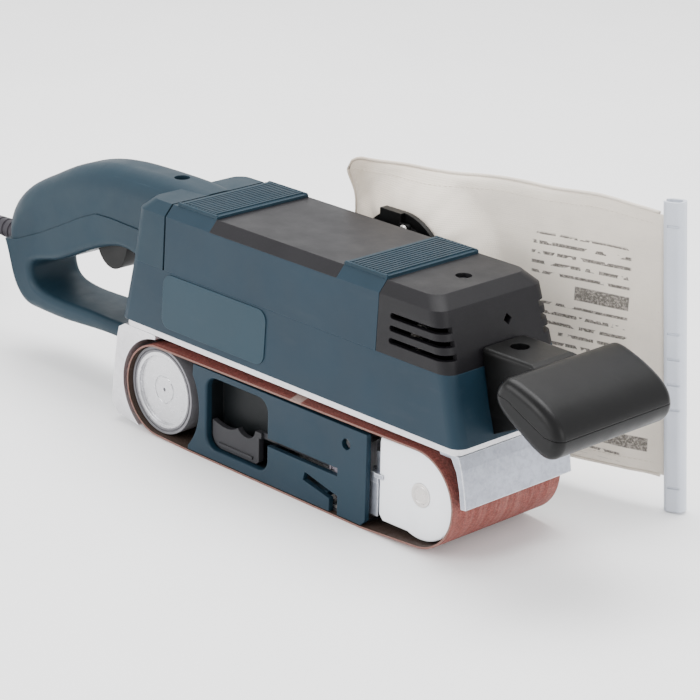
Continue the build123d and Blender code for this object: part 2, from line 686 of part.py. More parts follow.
save(front_cap.part, "front_cap")

with BuildPart() as cap_screw:
    with Locations((84.6, 0.8, 123.3)):
        Cylinder(3.6, 4.4)
    with Locations((84.6, 0.8, 117.0)):
        Cylinder(1.95, 9.0)
    with Locations((84.6, 0.8, 125.0)):
        Box(4.6, 1.0, 2.0, mode=Mode.SUBTRACT)
        Box(1.0, 4.6, 2.0, mode=Mode.SUBTRACT)

# nameplate on the sloping right wall of the lower housing
SIDE_TILT = degrees(atan2(39.6 - 37.6, Z_SEAM - Z_BASE_TOP))
plate_plane = Plane(origin=(-49.5, -(39.6 - (78.4 - Z_BASE_TOP) * 2.0 / (Z_SEAM - Z_BASE_TOP)), 78.4), x_dir=(1, 0, 0), z_dir=(0, -cos(radians(SIDE_TILT)), sin(radians(SIDE_TILT))))
with BuildPart() as nameplate:
    with BuildSketch(plate_plane) as outline:
        RectangleRounded(78.1, 28.6, 6.0)
    extrude(outline.sketch, amount=0.5)
save(nameplate.part, "nameplate")

# ================= D-handle =================
TOP_LINE = [(-254.8, 72.0), (-253.6, 79.0), (-249.5, 87.8), (-241.0, 97.0), (-217.4, 110.3), (-199.6, 118.8), (-177.9, 125.6), (-156.8, 128.4), (-132.0, 129.2), (-109.0, 129.2), (-90.1, 128.0)]
PARTING = [(-254.8, 66.0), (-240.0, 69.5), (-219.0, 78.0), (-201.0, 86.5), (-183.0, 95.4), (-170.0, 100.6), (-157.6, 101.2), (-118.4, 100.2)]
BOTTOM_LINE = [(-254.8, 66.0), (-250.6, 55.0), (-246.8, 44.5), (-241.6, 37.0), (-234.5, 32.4), (-226.0, 31.4), (-205.0, 31.2), (-133.2, 31.2)]
OPENING = [(-229.5, 54.0), (-226.0, 46.6), (-216.0, 43.2), (-184.0, 42.9), (-152.0, 43.1), (-139.0, 46.4), (-133.6, 54.0), (-129.8, 67.0), (-131.0, 80.0), (-142.0, 86.0), (-158.0, 85.0), (-172.0, 80.3), (-194.0, 70.3), (-206.0, 65.2), (-222.0, 60.8)]
W_UPPER, W_LOWER = 17.2, 17.8
LOCK = (-190.5, 84.5)  # x, z of the lock button

TRIGGER_PIVOT = (-157.2, 88.2)
EXIT = Vector(-253.5, 0, 64.6)


def cord_hole():
    """The stepped hole that holds the strain relief's collar."""
    for r, x0, x1 in ((6.7, -262.0, -249.4), (7.5, -249.6, -240.0)):
        with BuildSketch(Plane.YZ.offset(x0)) as hole:
            with Locations((0, EXIT.Z)):
                Circle(r)
        extrude(hole.sketch, amount=x1 - x0, mode=Mode.SUBTRACT)


with BuildPart() as rear_body:
    add(upper_outer)
    keep_x(-125, X_REAR_CUT[0])

with BuildPart() as rear_hollow:
    add(upper_inner)
    keep_x(-125, X_REAR_CUT[0] + 5)

with BuildPart() as rear_cover:
    # the upper grip shell
    with BuildSketch(xz(W_UPPER)) as side:
        with BuildLine():
            t = Spline(*TOP_LINE[:2], *TOP_LINE[2:])
            Line(t @ 1, (-90.1, 100.2))
            Polyline((-90.1, 100.2), *PARTING[::-1])
            Line(PARTING[0], t @ 0)
        make_face()
    extrude(side.sketch, amount=2 * W_UPPER)
    long_edges = rear_cover.edges().filter_by(lambda e: abs(abs(e.center().Y) - W_UPPER) < 0.01 and e.center().Z > 90 and e.length > 60)
    RADIUS_TOP = try_fillet(rear_cover, long_edges, 13, 11, 9, 7, 5)
    grip_solid = rear_cover.part
    # the housing part, then hollow both
    add(rear_body.part)
    add(rear_hollow.part, mode=Mode.SUBTRACT)
    with BuildSketch(xz(W_UPPER - 3.4)) as cavity:
        with BuildLine():
            Polyline((-250.0, 62.0), (-250.0, 76.0), (-244.0, 86.5), (-237.0, 93.4), (-215.0, 105.8), (-198.0, 114.0), (-177.0, 121.0), (-156.0, 124.0), (-132.0, 124.8), (-100.0, 124.6), (-100.0, 97.0), (-157.6, 97.0), (-170.0, 97.0), (-201.0, 82.0), (-240.0, 62.0), (-250.0, 62.0))
        make_face()
    extrude(cavity.sketch, amount=2 * W_UPPER - 6.8, mode=Mode.SUBTRACT)
    # handle screw well, cord exit
    with Locations((-119.0, 0, 121.0)):
        Cylinder(6.4, 12.0)
    with Locations((-119.0, 0, 126.0)):
        Cylinder(4.2, 9.0, mode=Mode.SUBTRACT)
    with Locations((-119.0, 0, 118.0)):
        Cylinder(2.0, 20.0, mode=Mode.SUBTRACT)
    cord_hole()
save(rear_cover.part, "rear_cover")
print("top fillet", RADIUS_TOP)

with BuildPart() as handle_screw:
    with Locations((-119.0, 0, 122.8)):
        Cylinder(3.7, 2.4)
    with Locations((-119.0, 0, 116.6)):
        Cylinder(1.95, 10.0)
    with Locations((-119.0, 0, 123.6)):
        Box(4.8, 1.0, 2.0, mode=Mode.SUBTRACT)
        Box(1.0, 4.8, 2.0, mode=Mode.SUBTRACT)

with BuildPart() as handle_lower_shell:
    with BuildSketch(xz(W_LOWER)) as side:
        with BuildLine():
            b = Spline(*BOTTOM_LINE)
            Polyline(BOTTOM_LINE[-1], (-128.9, 58.6), (-123.8, 60.4), (-118.4, Z_SEAM - 6.0), (-118.4, 100.2), *PARTING[-2::-1])
        make_face()
    extrude(side.sketch, amount=2 * W_LOWER)
    outer_rim = handle_lower_shell.edges().filter_by(lambda e: abs(abs(e.center().Y) - W_LOWER) < 0.01 and e.center().Z < 60 and e.length > 100)
    R2 = try_fillet(handle_lower_shell, outer_rim, 5.5, 4.5, 3.5, 2.5)
    with BuildSketch(xz(W_LOWER + 1)) as gap:
        with BuildLine():
            Spline(*OPENING, periodic=True)
        make_face()
    extrude(gap.sketch, amount=2 * W_LOWER + 2, mode=Mode.SUBTRACT)
    inner_rim = handle_lower_shell.edges().filter_by(lambda e: abs(abs(e.center().Y) - W_LOWER) < 0.01 and e.length > 180)
    R1 = try_fillet(handle_lower_shell, inner_rim, 4.0, 3.0, 2.0)
    # cavity of the grip
    with BuildSketch(xz(W_LOWER - 3.8)) as cavity:
        with BuildLine():
            Polyline((-250.0, 62.5), (-250.0, 110.0), (-122.0, 110.0), (-122.0, 90.5), (-134.0, 90.5), (-160.5, 89.2), (-173.5, 84.0), (-195.5, 73.8), (-207.5, 68.2), (-222.0, 64.2), (-234.0, 62.5), (-250.0, 62.5))
        make_face()
    extrude(cavity.sketch, amount=2 * W_LOWER - 7.6, mode=Mode.SUBTRACT)
    # trigger slot, lock button hole
    with Locations((-168.5, 0, 82.0)):
        Box(29.0, 15.6, 22.0, mode=Mode.SUBTRACT)
    cyl_y(*LOCK, 4.3, 10, 25, mode=Mode.SUBTRACT)
    cyl_y(TRIGGER_PIVOT[0], TRIGGER_PIVOT[1], 1.52, -13.7, 13.7, mode=Mode.SUBTRACT)
    cord_hole()
save(handle_lower_shell.part, "handle_lower_shell")
print("rim fillets", R1, R2)


def cyl_x(r, x0, x1, r_in=0.0, y=MOTOR_Y, z=MOTOR_Z, mode=Mode.ADD):
    """Adds a cylinder or ring along X between x0 and x1, on the motor axis unless placed elsewhere."""
    with BuildSketch(Plane.YZ.offset(x0)) as ring:
        with Locations((y, z)):
            Circle(r)
            if r_in:
                Circle(r_in, mode=Mode.SUBTRACT)
    extrude(ring.sketch, amount=x1 - x0, mode=mode)


# ================= motor =================
with BuildPart() as armature_shaft:
    cyl_x(4.0, -52.0, 66.0)
    cyl_x(3.0, -61.0, -52.0)
    cyl_x(2.0, -72.0, -61.0)
save(armature_shaft.part, "armature_shaft")

with BuildPart() as armature_core:
    cyl_x(15.0, -22.0, 22.0, 4.0)
    with BuildSketch(Plane.YZ.offset(-23)) as slots:
        with Locations((MOTOR_Y, MOTOR_Z)):
            with PolarLocations(14.6, 12):
                Rectangle(3.4, 2.0)
    extrude(slots.sketch, amount=46, mode=Mode.SUBTRACT)
    cyl_x(11.4, 22.0, 30.0, 4.0)
    cyl_x(11.4, -30.0, -22.0, 4.0)
save(armature_core.part, "armature_core")

with BuildPart() as commutator:
    cyl_x(9.0, 38.0, 52.0, 4.0)
    with BuildSketch(Plane.YZ.offset(37)) as slots:
        with Locations((MOTOR_Y, MOTOR_Z)):
            with PolarLocations(9.0, 24):
                Rectangle(1.6, 0.5)
    extrude(slots.sketch, amount=16, mode=Mode.SUBTRACT)
save(commutator.part, "commutator")

with BuildPart() as cooling_fan:
    cyl_x(8.0, -48.0, -36.0, 4.0)
    cyl_x(23.0, -48.0, -46.0, 7.0)
    with BuildSketch(Plane.YZ.offset(-46)) as blades:
        with Locations((MOTOR_Y, MOTOR_Z)):
            with PolarLocations(15.0, 11):
                Rectangle(15.0, 1.4)
    extrude(blades.sketch, amount=8.0)
save(cooling_fan.part, "cooling_fan")

with BuildPart() as motor_bearings:
    for x0, rs, ro in ((-62.0, 3.05, 8.0), (57.0, 4.05, 8.0)):
        cyl_x(ro - 0.03, x0, x0 + 5.0, ro - 1.6)
        cyl_x(rs + 1.4, x0, x0 + 5.0, rs)
        cyl_x(ro - 1.5, x0 + 0.6, x0 + 4.4, rs + 1.3)
save(Compound(children=[*drive_bearings.solids(), *cross_bearings.solids(), *motor_bearings.solids()]), "ball_bearings")

with BuildPart() as stator_core:
    cyl_x(25.0, -22.0, 22.0, 15.6)
    with Locations((0, MOTOR_Y, MOTOR_Z + 19.6), (0, MOTOR_Y, MOTOR_Z - 19.6)):
        Box(46, 21.6, 4.2, mode=Mode.SUBTRACT)
    # feet that stand on the frame
    with Locations((0, MOTOR_Y, 64.0)):
        Box(30, 26, 7.2)

with BuildPart() as stator_windings:
    for s in (-1, 1):
        with Locations((0, MOTOR_Y, MOTOR_Z + s * 19.6)):
            Box(60, 21, 3.8)
            Box(45, 11, 5.0, mode=Mode.SUBTRACT)
save(Compound(children=[*stator_core.solids(), *stator_windings.solids()]), "stator")

with BuildPart() as bearing_bracket:
    # carries the front bearing and the brush holders
    with Locations((59.5, MOTOR_Y, 80.0)):
        Box(7.0, 34, 39.2)
    cyl_x(11.0, 56.0, 63.0)
    cyl_x(8.0, 50.0, 64.0, mode=Mode.SUBTRACT)
    cyl_x(4.5, 50.0, 70.0, mode=Mode.SUBTRACT)

with BuildPart() as brush_bracket:
    add(bearing_bracket.part)
    for s in (-1, 1):
        with Locations((45.0, MOTOR_Y + s * 18.0, MOTOR_Z)):
            Box(9.0, 15.0, 9.0)
            Box(6.2, 20.0, 6.2, mode=Mode.SUBTRACT)
        with Locations((52.65, MOTOR_Y + s * 15.5, MOTOR_Z)):
            Box(6.7, 3.0, 5.0)
save(brush_bracket.part, "brush_bracket")

with BuildPart() as carbon_brushes:
    for s in (-1, 1):
        with Locations((45.0, MOTOR_Y + s * 16.4, MOTOR_Z)):
            Box(6.1, 14.0, 6.1)
save(carbon_brushes.part, "carbon_brushes")

# ================= switch, trigger, lock button =================
with BuildPart() as switch_module:
    with Locations((-168.0, 0, 104.4)):
        Box(36.0, 20.0, 15.0)
    with Locations((-150.0, 0, 105.0)):
        Box(6.0, 14.0, 9.0)
    with Locations((-150.5, 9, 109.0), (-150.5, -9, 109.0)):
        Box(4.0, 4.0, 2.0)
save(switch_module.part, "switch_module")

with BuildPart() as trigger:
    with BuildSketch(xz(7.2)) as side:
        with BuildLine():
            Polyline((-154.6, 88.0), (-156.0, 90.6), (-161.0, 92.4), (-181.4, 91.0), (-182.2, 84.0))
            Spline((-182.2, 84.0), (-180.8, 77.0), (-176.4, 70.9), (-169.0, 68.0), (-162.0, 70.2), (-158.0, 76.0), (-154.6, 88.0))
        make_face()
    extrude(side.sketch, amount=14.4)
    try_fillet(trigger, trigger.edges().filter_by(lambda e: abs(abs(e.center().Y) - 7.2) < 0.01 and e.center().Z < 84), 2.0, 1.2)
    cyl_y(TRIGGER_PIVOT[0], TRIGGER_PIVOT[1], 1.55, -10, 10, mode=Mode.SUBTRACT)
save(trigger.part, "trigger")

with BuildPart() as trigger_pin:
    cyl_y(TRIGGER_PIVOT[0], TRIGGER_PIVOT[1], 1.5, -13.6, 13.6)
save(Compound(children=[*lever_pivot_pin.solids(), *trigger_pin.solids()]), "pivot_pins")

with BuildPart() as lock_button:
    cyl_y(*LOCK, 4.0, 10.0, 21.2)
    cyl_y(*LOCK, 5.4, 9.0, 11.0)
    try_fillet(lock_button, lock_button.edges().group_by(Axis.Y)[-1], 1.0)
save(lock_button.part, "lock_button")

# ================= front knob =================
with BuildPart() as knob_bracket:
    with BuildSketch(xz(15.0)) as side:
        with BuildLine():
            Polyline((113.0, 103.0), (142.5, 103.0), (150.0, 100.5), (156.0, 92.0), (149.0, 84.0), (139.6, 72.4), (136.0, 69.4), (121.8, 62.6), (113.0, 103.0))
        make_face()
    extrude(side.sketch, amount=30.0)
    add(lower_outer, mode=Mode.SUBTRACT)
    add(front_cap.part, mode=Mode.SUBTRACT)
    add(upper_outer, mode=Mode.SUBTRACT)
    try_fillet(knob_bracket, knob_bracket.edges().filter_by(lambda e: abs(abs(e.center().Y) - 15.0) < 0.01 and e.center().Z > 102.5), 2.5, 1.5)
    with Locations((122.8, 0, 101.0)):
        Cylinder(4.6, 8.0, mode=Mode.SUBTRACT)
    with Locations((122.8, 0, 94.0)):
        Cylinder(2.0, 20.0, mode=Mode.SUBTRACT)
save(knob_bracket.part, "knob_bracket")

with BuildPart() as knob_screw:
    with Locations((122.8, 0, 98.4)):
        Cylinder(4.0, 2.6)
    with Locations((122.8, 0, 92.0)):
        Cylinder(1.95, 11.0)
    with Locations((122.8, 0, 99.4)):
        Box(5.0, 1.0, 2.0, mode=Mode.SUBTRACT)
        Box(1.0, 5.0, 2.0, mode=Mode.SUBTRACT)
save(Compound(children=[*cap_screw.solids(), *handle_screw.solids(), *knob_screw.solids(), *cover_screws.solids()]), "housing_screws")

KNOB = [(143.5, 94.0), (144.6, 99.4), (149.0, 103.9), (156.0, 103.4), (170.0, 98.2), (178.2, 93.4), (183.2, 87.6), (184.4, 82.4), (182.4, 76.6), (177.2, 73.0), (171.0, 73.8), (157.6, 81.0), (147.6, 87.4)]
with BuildPart() as knob_solid:
    with BuildSketch(xz(40.0)) as side:
        with BuildLine():
            Spline(*KNOB, periodic=True)
        make_face()
    extrude(side.sketch, amount=80.0)
    KNOB_R = try_fillet(knob_solid, knob_solid.edges().filter_by(lambda e: abs(abs(e.center().Y) - 40.0) < 0.01), 7.0, 6.0, 5.0, 4.0, 3.0)
    with BuildSketch(xz(15.4)) as tongue:
        with BuildLine():
            Polyline((110.0, 103.4), (142.5, 103.4), (150.2, 100.9), (156.5, 92.0), (149.3, 83.6), (139.6, 70.0), (110, 70), (110.0, 103.4))
        make_face()
    extrude(tongue.sketch, amount=30.8, mode=Mode.SUBTRACT)
SEAM = [(130, 97.6), (145.2, 96.3), (152.3, 95.2), (163.6, 89.5), (175.5, 84.2), (190, 83.4)]
with BuildPart() as knob_upper_shell:
    add(knob_solid.part)
    with BuildSketch(xz(50)) as above:
        with BuildLine():
            Polyline(*SEAM, (190, 120), (130, 120), SEAM[0])
        make_face()
    extrude(above.sketch, amount=100, mode=Mode.INTERSECT)
save(knob_upper_shell.part, "knob_upper_shell")
with BuildPart() as knob_lower_shell:
    add(knob_solid.part)
    with BuildSketch(xz(50)) as below:
        with BuildLine():
            Polyline(*[(x, z - 0.25) for x, z in SEAM], (190, 60), (130, 60), (130, 97.35))
        make_face()
    extrude(below.sketch, amount=100, mode=Mode.INTERSECT)
save(knob_lower_shell.part, "knob_lower_shell")
print("knob fillet", KNOB_R)

# ================= dust duct, collar, bag =================
with BuildPart() as dust_duct:
    with Locations((-48.5, 27.9, 66.9)):
        Box(137.0, 10.6, 12.6)
    with Locations((0, 27.9, 90.0)):
        Box(44.0, 10.6, 58.6)
    cyl_y(OUTLET[0], OUTLET[1], R_OUTLET, 30.0, 49.0)
    with Locations((-48.5, 27.9, 66.9)):
        Box(134.0, 7.6, 9.6, mode=Mode.SUBTRACT)
    with Locations((0, 27.9, 90.0)):
        Box(41.0, 7.6, 55.6, mode=Mode.SUBTRACT)
    cyl_y(OUTLET[0], OUTLET[1], R_OUTLET - 1.8, 28.0, 50.0, mode=Mode.SUBTRACT)
    with Locations((-108, 27.9, 60)):
        Box(11.0, 7.6, 8, mode=Mode.SUBTRACT)
save(dust_duct.part, "dust_duct")

with BuildPart() as bag_collar:
    cyl_y(OUTLET[0], OUTLET[1], 24.6, 42.2, 49.6, R_OUTLET + 0.06)
    cyl_y(OUTLET[0], OUTLET[1], 30.2, 44.0, 46.6, R_OUTLET + 0.06)
    # step on the flange where the latch sits
    with BuildSketch(xz(46.6)) as step:
        with Locations((-6.0, 125.6)):
            Rectangle(15.0, 9.0)
    extrude(step.sketch, amount=5.0)
    # small latch that snaps behind the spigot's rim
    with BuildSketch(xz(42.8)) as latch:
        with Locations((4.2, 123.4)):
            RectangleRounded(7.4, 4.2, 1.6)
    extrude(latch.sketch, amount=1.8)
save(bag_collar.part, "bag_collar")

BAG_Z = (14.5, 153.0)
CLIP_FOOT = (145.4, 95.9)
CLIP_LEAN = (-9.7, -4.6)   # how far the clip's top stands back from its foot
CLIP_H = 158.5
BAG_PLANS = (
    (BAG_Z[0], ((-40.0, 49.8), (-16.0, 49.8), (30.0, 62.6), (139.3, 93.8), (138.7, 96.2), (90.0, 90.0), (20.0, 80.0), (-20.0, 73.0), (-40.0, 62.0))),
    (BAG_Z[1], ((-53.0, 49.8), (-16.0, 49.8), (30.0, 62.6), (130.8, 89.8), (130.2, 92.2), (90.0, 87.4), (20.0, 79.4), (-20.0, 72.4), (-53.0, 61.0))),
)
with BuildPart() as dust_bag:
    for z, points in BAG_PLANS:
        with BuildSketch(Plane.XY.offset(z)) as plan:
            with BuildLine():
                Polyline(*points, points[0])
            make_face()
    loft(ruled=True)
    # the top corner at the back is folded away
    with BuildSketch(xz(90.0)) as corner:
        with BuildLine():
            Polyline((-60.0, 160.0), (-60.0, 131.0), (-36.4, 160.0), (-60.0, 160.0))
        make_face()
    extrude(corner.sketch, amount=60.0, mode=Mode.SUBTRACT)
    # mouth round the collar
    cyl_y(OUTLET[0], OUTLET[1], 27.5, 46.7, 60.0)
    cyl_y(OUTLET[0], OUTLET[1], 24.6, 40.0, 49.6, mode=Mode.SUBTRACT)
    cyl_y(OUTLET[0], OUTLET[1], 22.0, 40.0, 58.0, mode=Mode.SUBTRACT)
save(dust_bag.part, "dust_bag")

BAG_TILT = 16.0
rail_z = Vector(CLIP_LEAN[0], CLIP_LEAN[1], CLIP_H).normalized()
rail_plane = Plane(origin=(CLIP_FOOT[0], CLIP_FOOT[1], 0.8), x_dir=(cos(radians(BAG_TILT)), sin(radians(BAG_TILT)), 0.07), z_dir=rail_z)
with BuildPart() as bag_clip:
    with BuildSketch(rail_plane) as rail:
        RectangleRounded(11.0, 8.0, 3.2)
        RectangleRounded(7.6, 4.8, 1.8, mode=Mode.SUBTRACT)
        with Locations((-4.6, 0)):
            Rectangle(4.0, 3.4, mode=Mode.SUBTRACT)
    extrude(amount=CLIP_H)
    # moulded notches along the rail
    for z in (12.0, 53.0, 66.0, 79.0, 92.0, 146.0):
        with BuildSketch(rail_plane.offset(z)) as nick:
            with Locations((1.0, -4.0)):
                Rectangle(7.0, 1.0)
        extrude(amount=1.2, mode=Mode.SUBTRACT)
save(bag_clip.part, "bag_clip")

# ================= cord =================
with BuildPart() as strain_relief:
    with BuildSketch(Plane.YZ.offset(-246.5)) as a:
        with Locations((0, EXIT.Z)):
            Circle(7.4)
    extrude(a.sketch, amount=-3.0)
    with BuildSketch(Plane.YZ.offset(-249.5)) as c:
        with Locations((0, EXIT.Z)):
            Circle(6.6)
    with BuildSketch(Plane.YZ.offset(-290.0)) as d:
        with Locations((0, EXIT.Z)):
            Circle(4.7)
    loft([c.sketch.faces()[0], d.sketch.faces()[0]])
    for k in range(5):
        with BuildSketch(Plane.YZ.offset(-258.0 - 5.6 * k)) as e:
            with Locations((0, EXIT.Z)):
                Circle(9.0)
                Circle(5.6 - 0.26 * k, mode=Mode.SUBTRACT)
        extrude(e.sketch, amount=-2.0, mode=Mode.SUBTRACT)
save(strain_relief.part, "strain_relief")

# free cord: leaves the strain relief, comes down to the put-away coil on the floor
COIL = Vector(-380.0, -24.0, 0)
COIL_R = 44.0
ROUTE = [(-290.0, 0.0, 64.6), (-316.0, 0.6, 64.0), (-341.0, 5.0, 56.6), (-362.0, 12.0, 42.6), (-381.0, 18.4, 28.6), (-403.0, 17.6, 21.0)]
pts = [Vector(*p) for p in ROUTE]
radii = []
for a, b, c in zip(pts, pts[1:], pts[2:]):
    turn = (b - a).get_angle(c - b)
    radii.append(0.45 * min((b - a).length, (c - b).length) / tan(radians(turn) / 2))
print("cord radii", [round(r, 1) for r in radii])
with BuildPart() as cord:
    with BuildLine() as route:
        FilletPolyline(*pts, radius=radii)
    with BuildSketch(Plane(origin=pts[0], z_dir=pts[1] - pts[0])) as end:
        Circle(CORD_D / 2)
    sweep(end.sketch, path=route.wires()[0])
print("cord length", round(route.wires()[0].length, 1), "volume ratio", round(cord.part.volume / (pi * 16 * route.wires()[0].length), 4))
save(cord.part, "cord")

with BuildPart() as cord_coil:
    with BuildSketch(Plane.XY) as ring:
        with Locations((COIL.X, COIL.Y)):
            Circle(COIL_R + 12.2)
            Circle(COIL_R - 12.2, mode=Mode.SUBTRACT)
    extrude(ring.sketch, amount=24.4)
    fillet(cord_coil.edges(), 4.0)
save(cord_coil.part, "cord_coil")

PLUG = Vector(-354.0, -65.0, 33.4)
with BuildPart() as plug_body:
    with BuildSketch(Plane.YZ.offset(PLUG.X - 18)) as a:
        with Locations((PLUG.Y, PLUG.Z)):
            RectangleRounded(20.0, 15.0, 6)
    with BuildSketch(Plane.YZ.offset(PLUG.X - 4)) as c:
        with Locations((PLUG.Y, PLUG.Z)):
            RectangleRounded(32.0, 16.8, 7)
    with BuildSketch(Plane.YZ.offset(PLUG.X + 18)) as d:
        with Locations((PLUG.Y, PLUG.Z)):
            RectangleRounded(34.0, 16.8, 7)
    loft([a.sketch.faces()[0], c.sketch.faces()[0], d.sketch.faces()[0]], ruled=True)
    tail_dir = Vector(26.0, -3.0, 10.6).normalized()
    with BuildSketch(Plane(origin=Vector(-396.0, -61.4, 22.8), z_dir=tail_dir)) as t:
        Circle(5.2)
    extrude(t.sketch, amount=29.0)
    for y in (-9.5, 9.5):
        with BuildSketch(Plane.YZ.offset(PLUG.X + 8)) as h:
            with Locations((PLUG.Y + y, PLUG.Z)):
                Circle(2.4)
        extrude(h.sketch, amount=12, mode=Mode.SUBTRACT)
save(plug_body.part, "plug_body")

with BuildPart() as plug_pins:
    for y in (-9.5, 9.5):
        with BuildSketch(Plane.YZ.offset(PLUG.X + 8)) as h:
            with Locations((PLUG.Y + y, PLUG.Z)):
                Circle(2.4)
        extrude(h.sketch, amount=29)
    try_fillet(plug_pins, plug_pins.edges().group_by(Axis.X)[-1], 1.6, 1.0)
save(plug_pins.part, "plug_pins")

print(len(made), "pieces")
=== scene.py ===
import bpy
import bmesh
import math
import random
from mathutils import Matrix, Vector, noise


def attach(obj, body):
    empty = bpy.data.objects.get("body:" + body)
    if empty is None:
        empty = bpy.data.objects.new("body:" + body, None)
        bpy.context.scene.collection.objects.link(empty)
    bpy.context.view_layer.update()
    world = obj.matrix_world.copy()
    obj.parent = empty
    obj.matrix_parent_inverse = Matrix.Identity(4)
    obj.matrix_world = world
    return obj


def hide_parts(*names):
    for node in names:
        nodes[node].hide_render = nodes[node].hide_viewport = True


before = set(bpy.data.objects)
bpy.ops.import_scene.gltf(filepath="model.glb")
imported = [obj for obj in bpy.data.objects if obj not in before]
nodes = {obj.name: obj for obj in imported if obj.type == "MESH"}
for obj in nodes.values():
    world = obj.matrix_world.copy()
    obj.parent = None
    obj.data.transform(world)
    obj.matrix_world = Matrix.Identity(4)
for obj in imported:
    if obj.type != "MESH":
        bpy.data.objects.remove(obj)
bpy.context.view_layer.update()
MM = 0.001

# ------------------------------------------------------------------ camera
cam_data = bpy.data.cameras.new("camera")
cam_data.lens = 133.35
cam_data.sensor_width = 36.0
cam_data.clip_start = 0.02
cam_data.clip_end = 20.0
cam = bpy.data.objects.new("camera", cam_data)
bpy.context.scene.collection.objects.link(cam)
RIGHT, UP, BACK = (0.69179, 0.72170, 0.02369), (-0.26425, 0.22249, 0.93843), (0.67200, -0.65546, 0.34464)
EYE = (0.87716, -0.84581, 0.51421)
cam.matrix_world = Matrix((
    (RIGHT[0], UP[0], BACK[0], EYE[0]),
    (RIGHT[1], UP[1], BACK[1], EYE[1]),
    (RIGHT[2], UP[2], BACK[2], EYE[2]),
    (0, 0, 0, 1)))
bpy.context.scene.camera = cam

# ------------------------------------------------------------------ cord
CORD_D = 0.008
COIL_C = (-0.380, -0.024)


def on_coil(deg, r, z):
    """A point of the coil, millimetres from its axis, pushed out so that the smooth line runs at r."""
    a = math.radians(deg)
    return (COIL_C[0] + r * MM * math.cos(a), COIL_C[1] + r * MM * math.sin(a), z * MM)


route = [(-0.290, 0.0, 0.0646), (-0.316, 0.0006, 0.0640), (-0.341, 0.005, 0.0566), (-0.362, 0.012, 0.0426),
         (-0.381, 0.0178, 0.0332), (-0.4035, 0.0196, 0.0296), (-0.4228, 0.0086, 0.0262), (-0.4325, -0.0130, 0.0218)]
# places in the coil's section, radius and height, in the order in which the cord is wound
PLACES = [(52.2, 20.3), (52.2, 12.2), (52.2, 4.15), (44.0, 4.15), (35.8, 4.15), (35.8, 12.2), (44.0, 12.2), (44.0, 20.3)]
# where each place is left for the next, in degrees from the start, over 42 degrees
LEAVES = [468, 828, 1146, 1506, 1824, 2142, 2460]
STEP = 22.5
OUT = 1 / math.cos(math.radians(STEP / 2))
deg = 192.0
while deg < 2744:
    r, z = PLACES[0]
    for k, at in enumerate(LEAVES):
        t = min(1.0, max(0.0, (deg - at) / 42.0))
        t = t * t * (3 - 2 * t)
        r += (PLACES[k + 1][0] - PLACES[k][0]) * t
        z += (PLACES[k + 1][1] - PLACES[k][1]) * t
    wob = 0.18 * math.sin(deg * 0.0217)
    route.append(on_coil(deg, (r + wob) * OUT, z))
    deg += STEP
route += [(-0.4070, -0.0606, 0.0212), (-0.3935, -0.0617, 0.0240)]

curve = bpy.data.curves.new("mains_cord", "CURVE")
curve.dimensions = "3D"
curve.bevel_depth = 1.0
curve.bevel_resolution = 5
curve.resolution_u = 5
curve.use_fill_caps = True
spline = curve.splines.new("NURBS")
spline.points.add(len(route) - 1)
for p, co in zip(spline.points, route):
    p.co = (*co, 1.0)
    p.radius = CORD_D / 2
spline.order_u = 3
spline.use_endpoint_u = True
cord = bpy.data.objects.new("mains_cord", curve)
bpy.context.scene.collection.objects.link(cord)
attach(cord, "root")
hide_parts("cord", "cord_coil")


# ------------------------------------------------------------------ shader helpers
def lin(v):
    v /= 255.0
    return v / 12.92 if v <= 0.04045 else ((v + 0.055) / 1.055) ** 2.4


def rgb(h):
    h = h.lstrip("#")
    return tuple(lin(int(h[i:i + 2], 16)) for i in (0, 2, 4)) + (1.0,)


def scaled(c, k):
    return tuple(min(1.0, x * k) for x in c[:3]) + (1.0,)


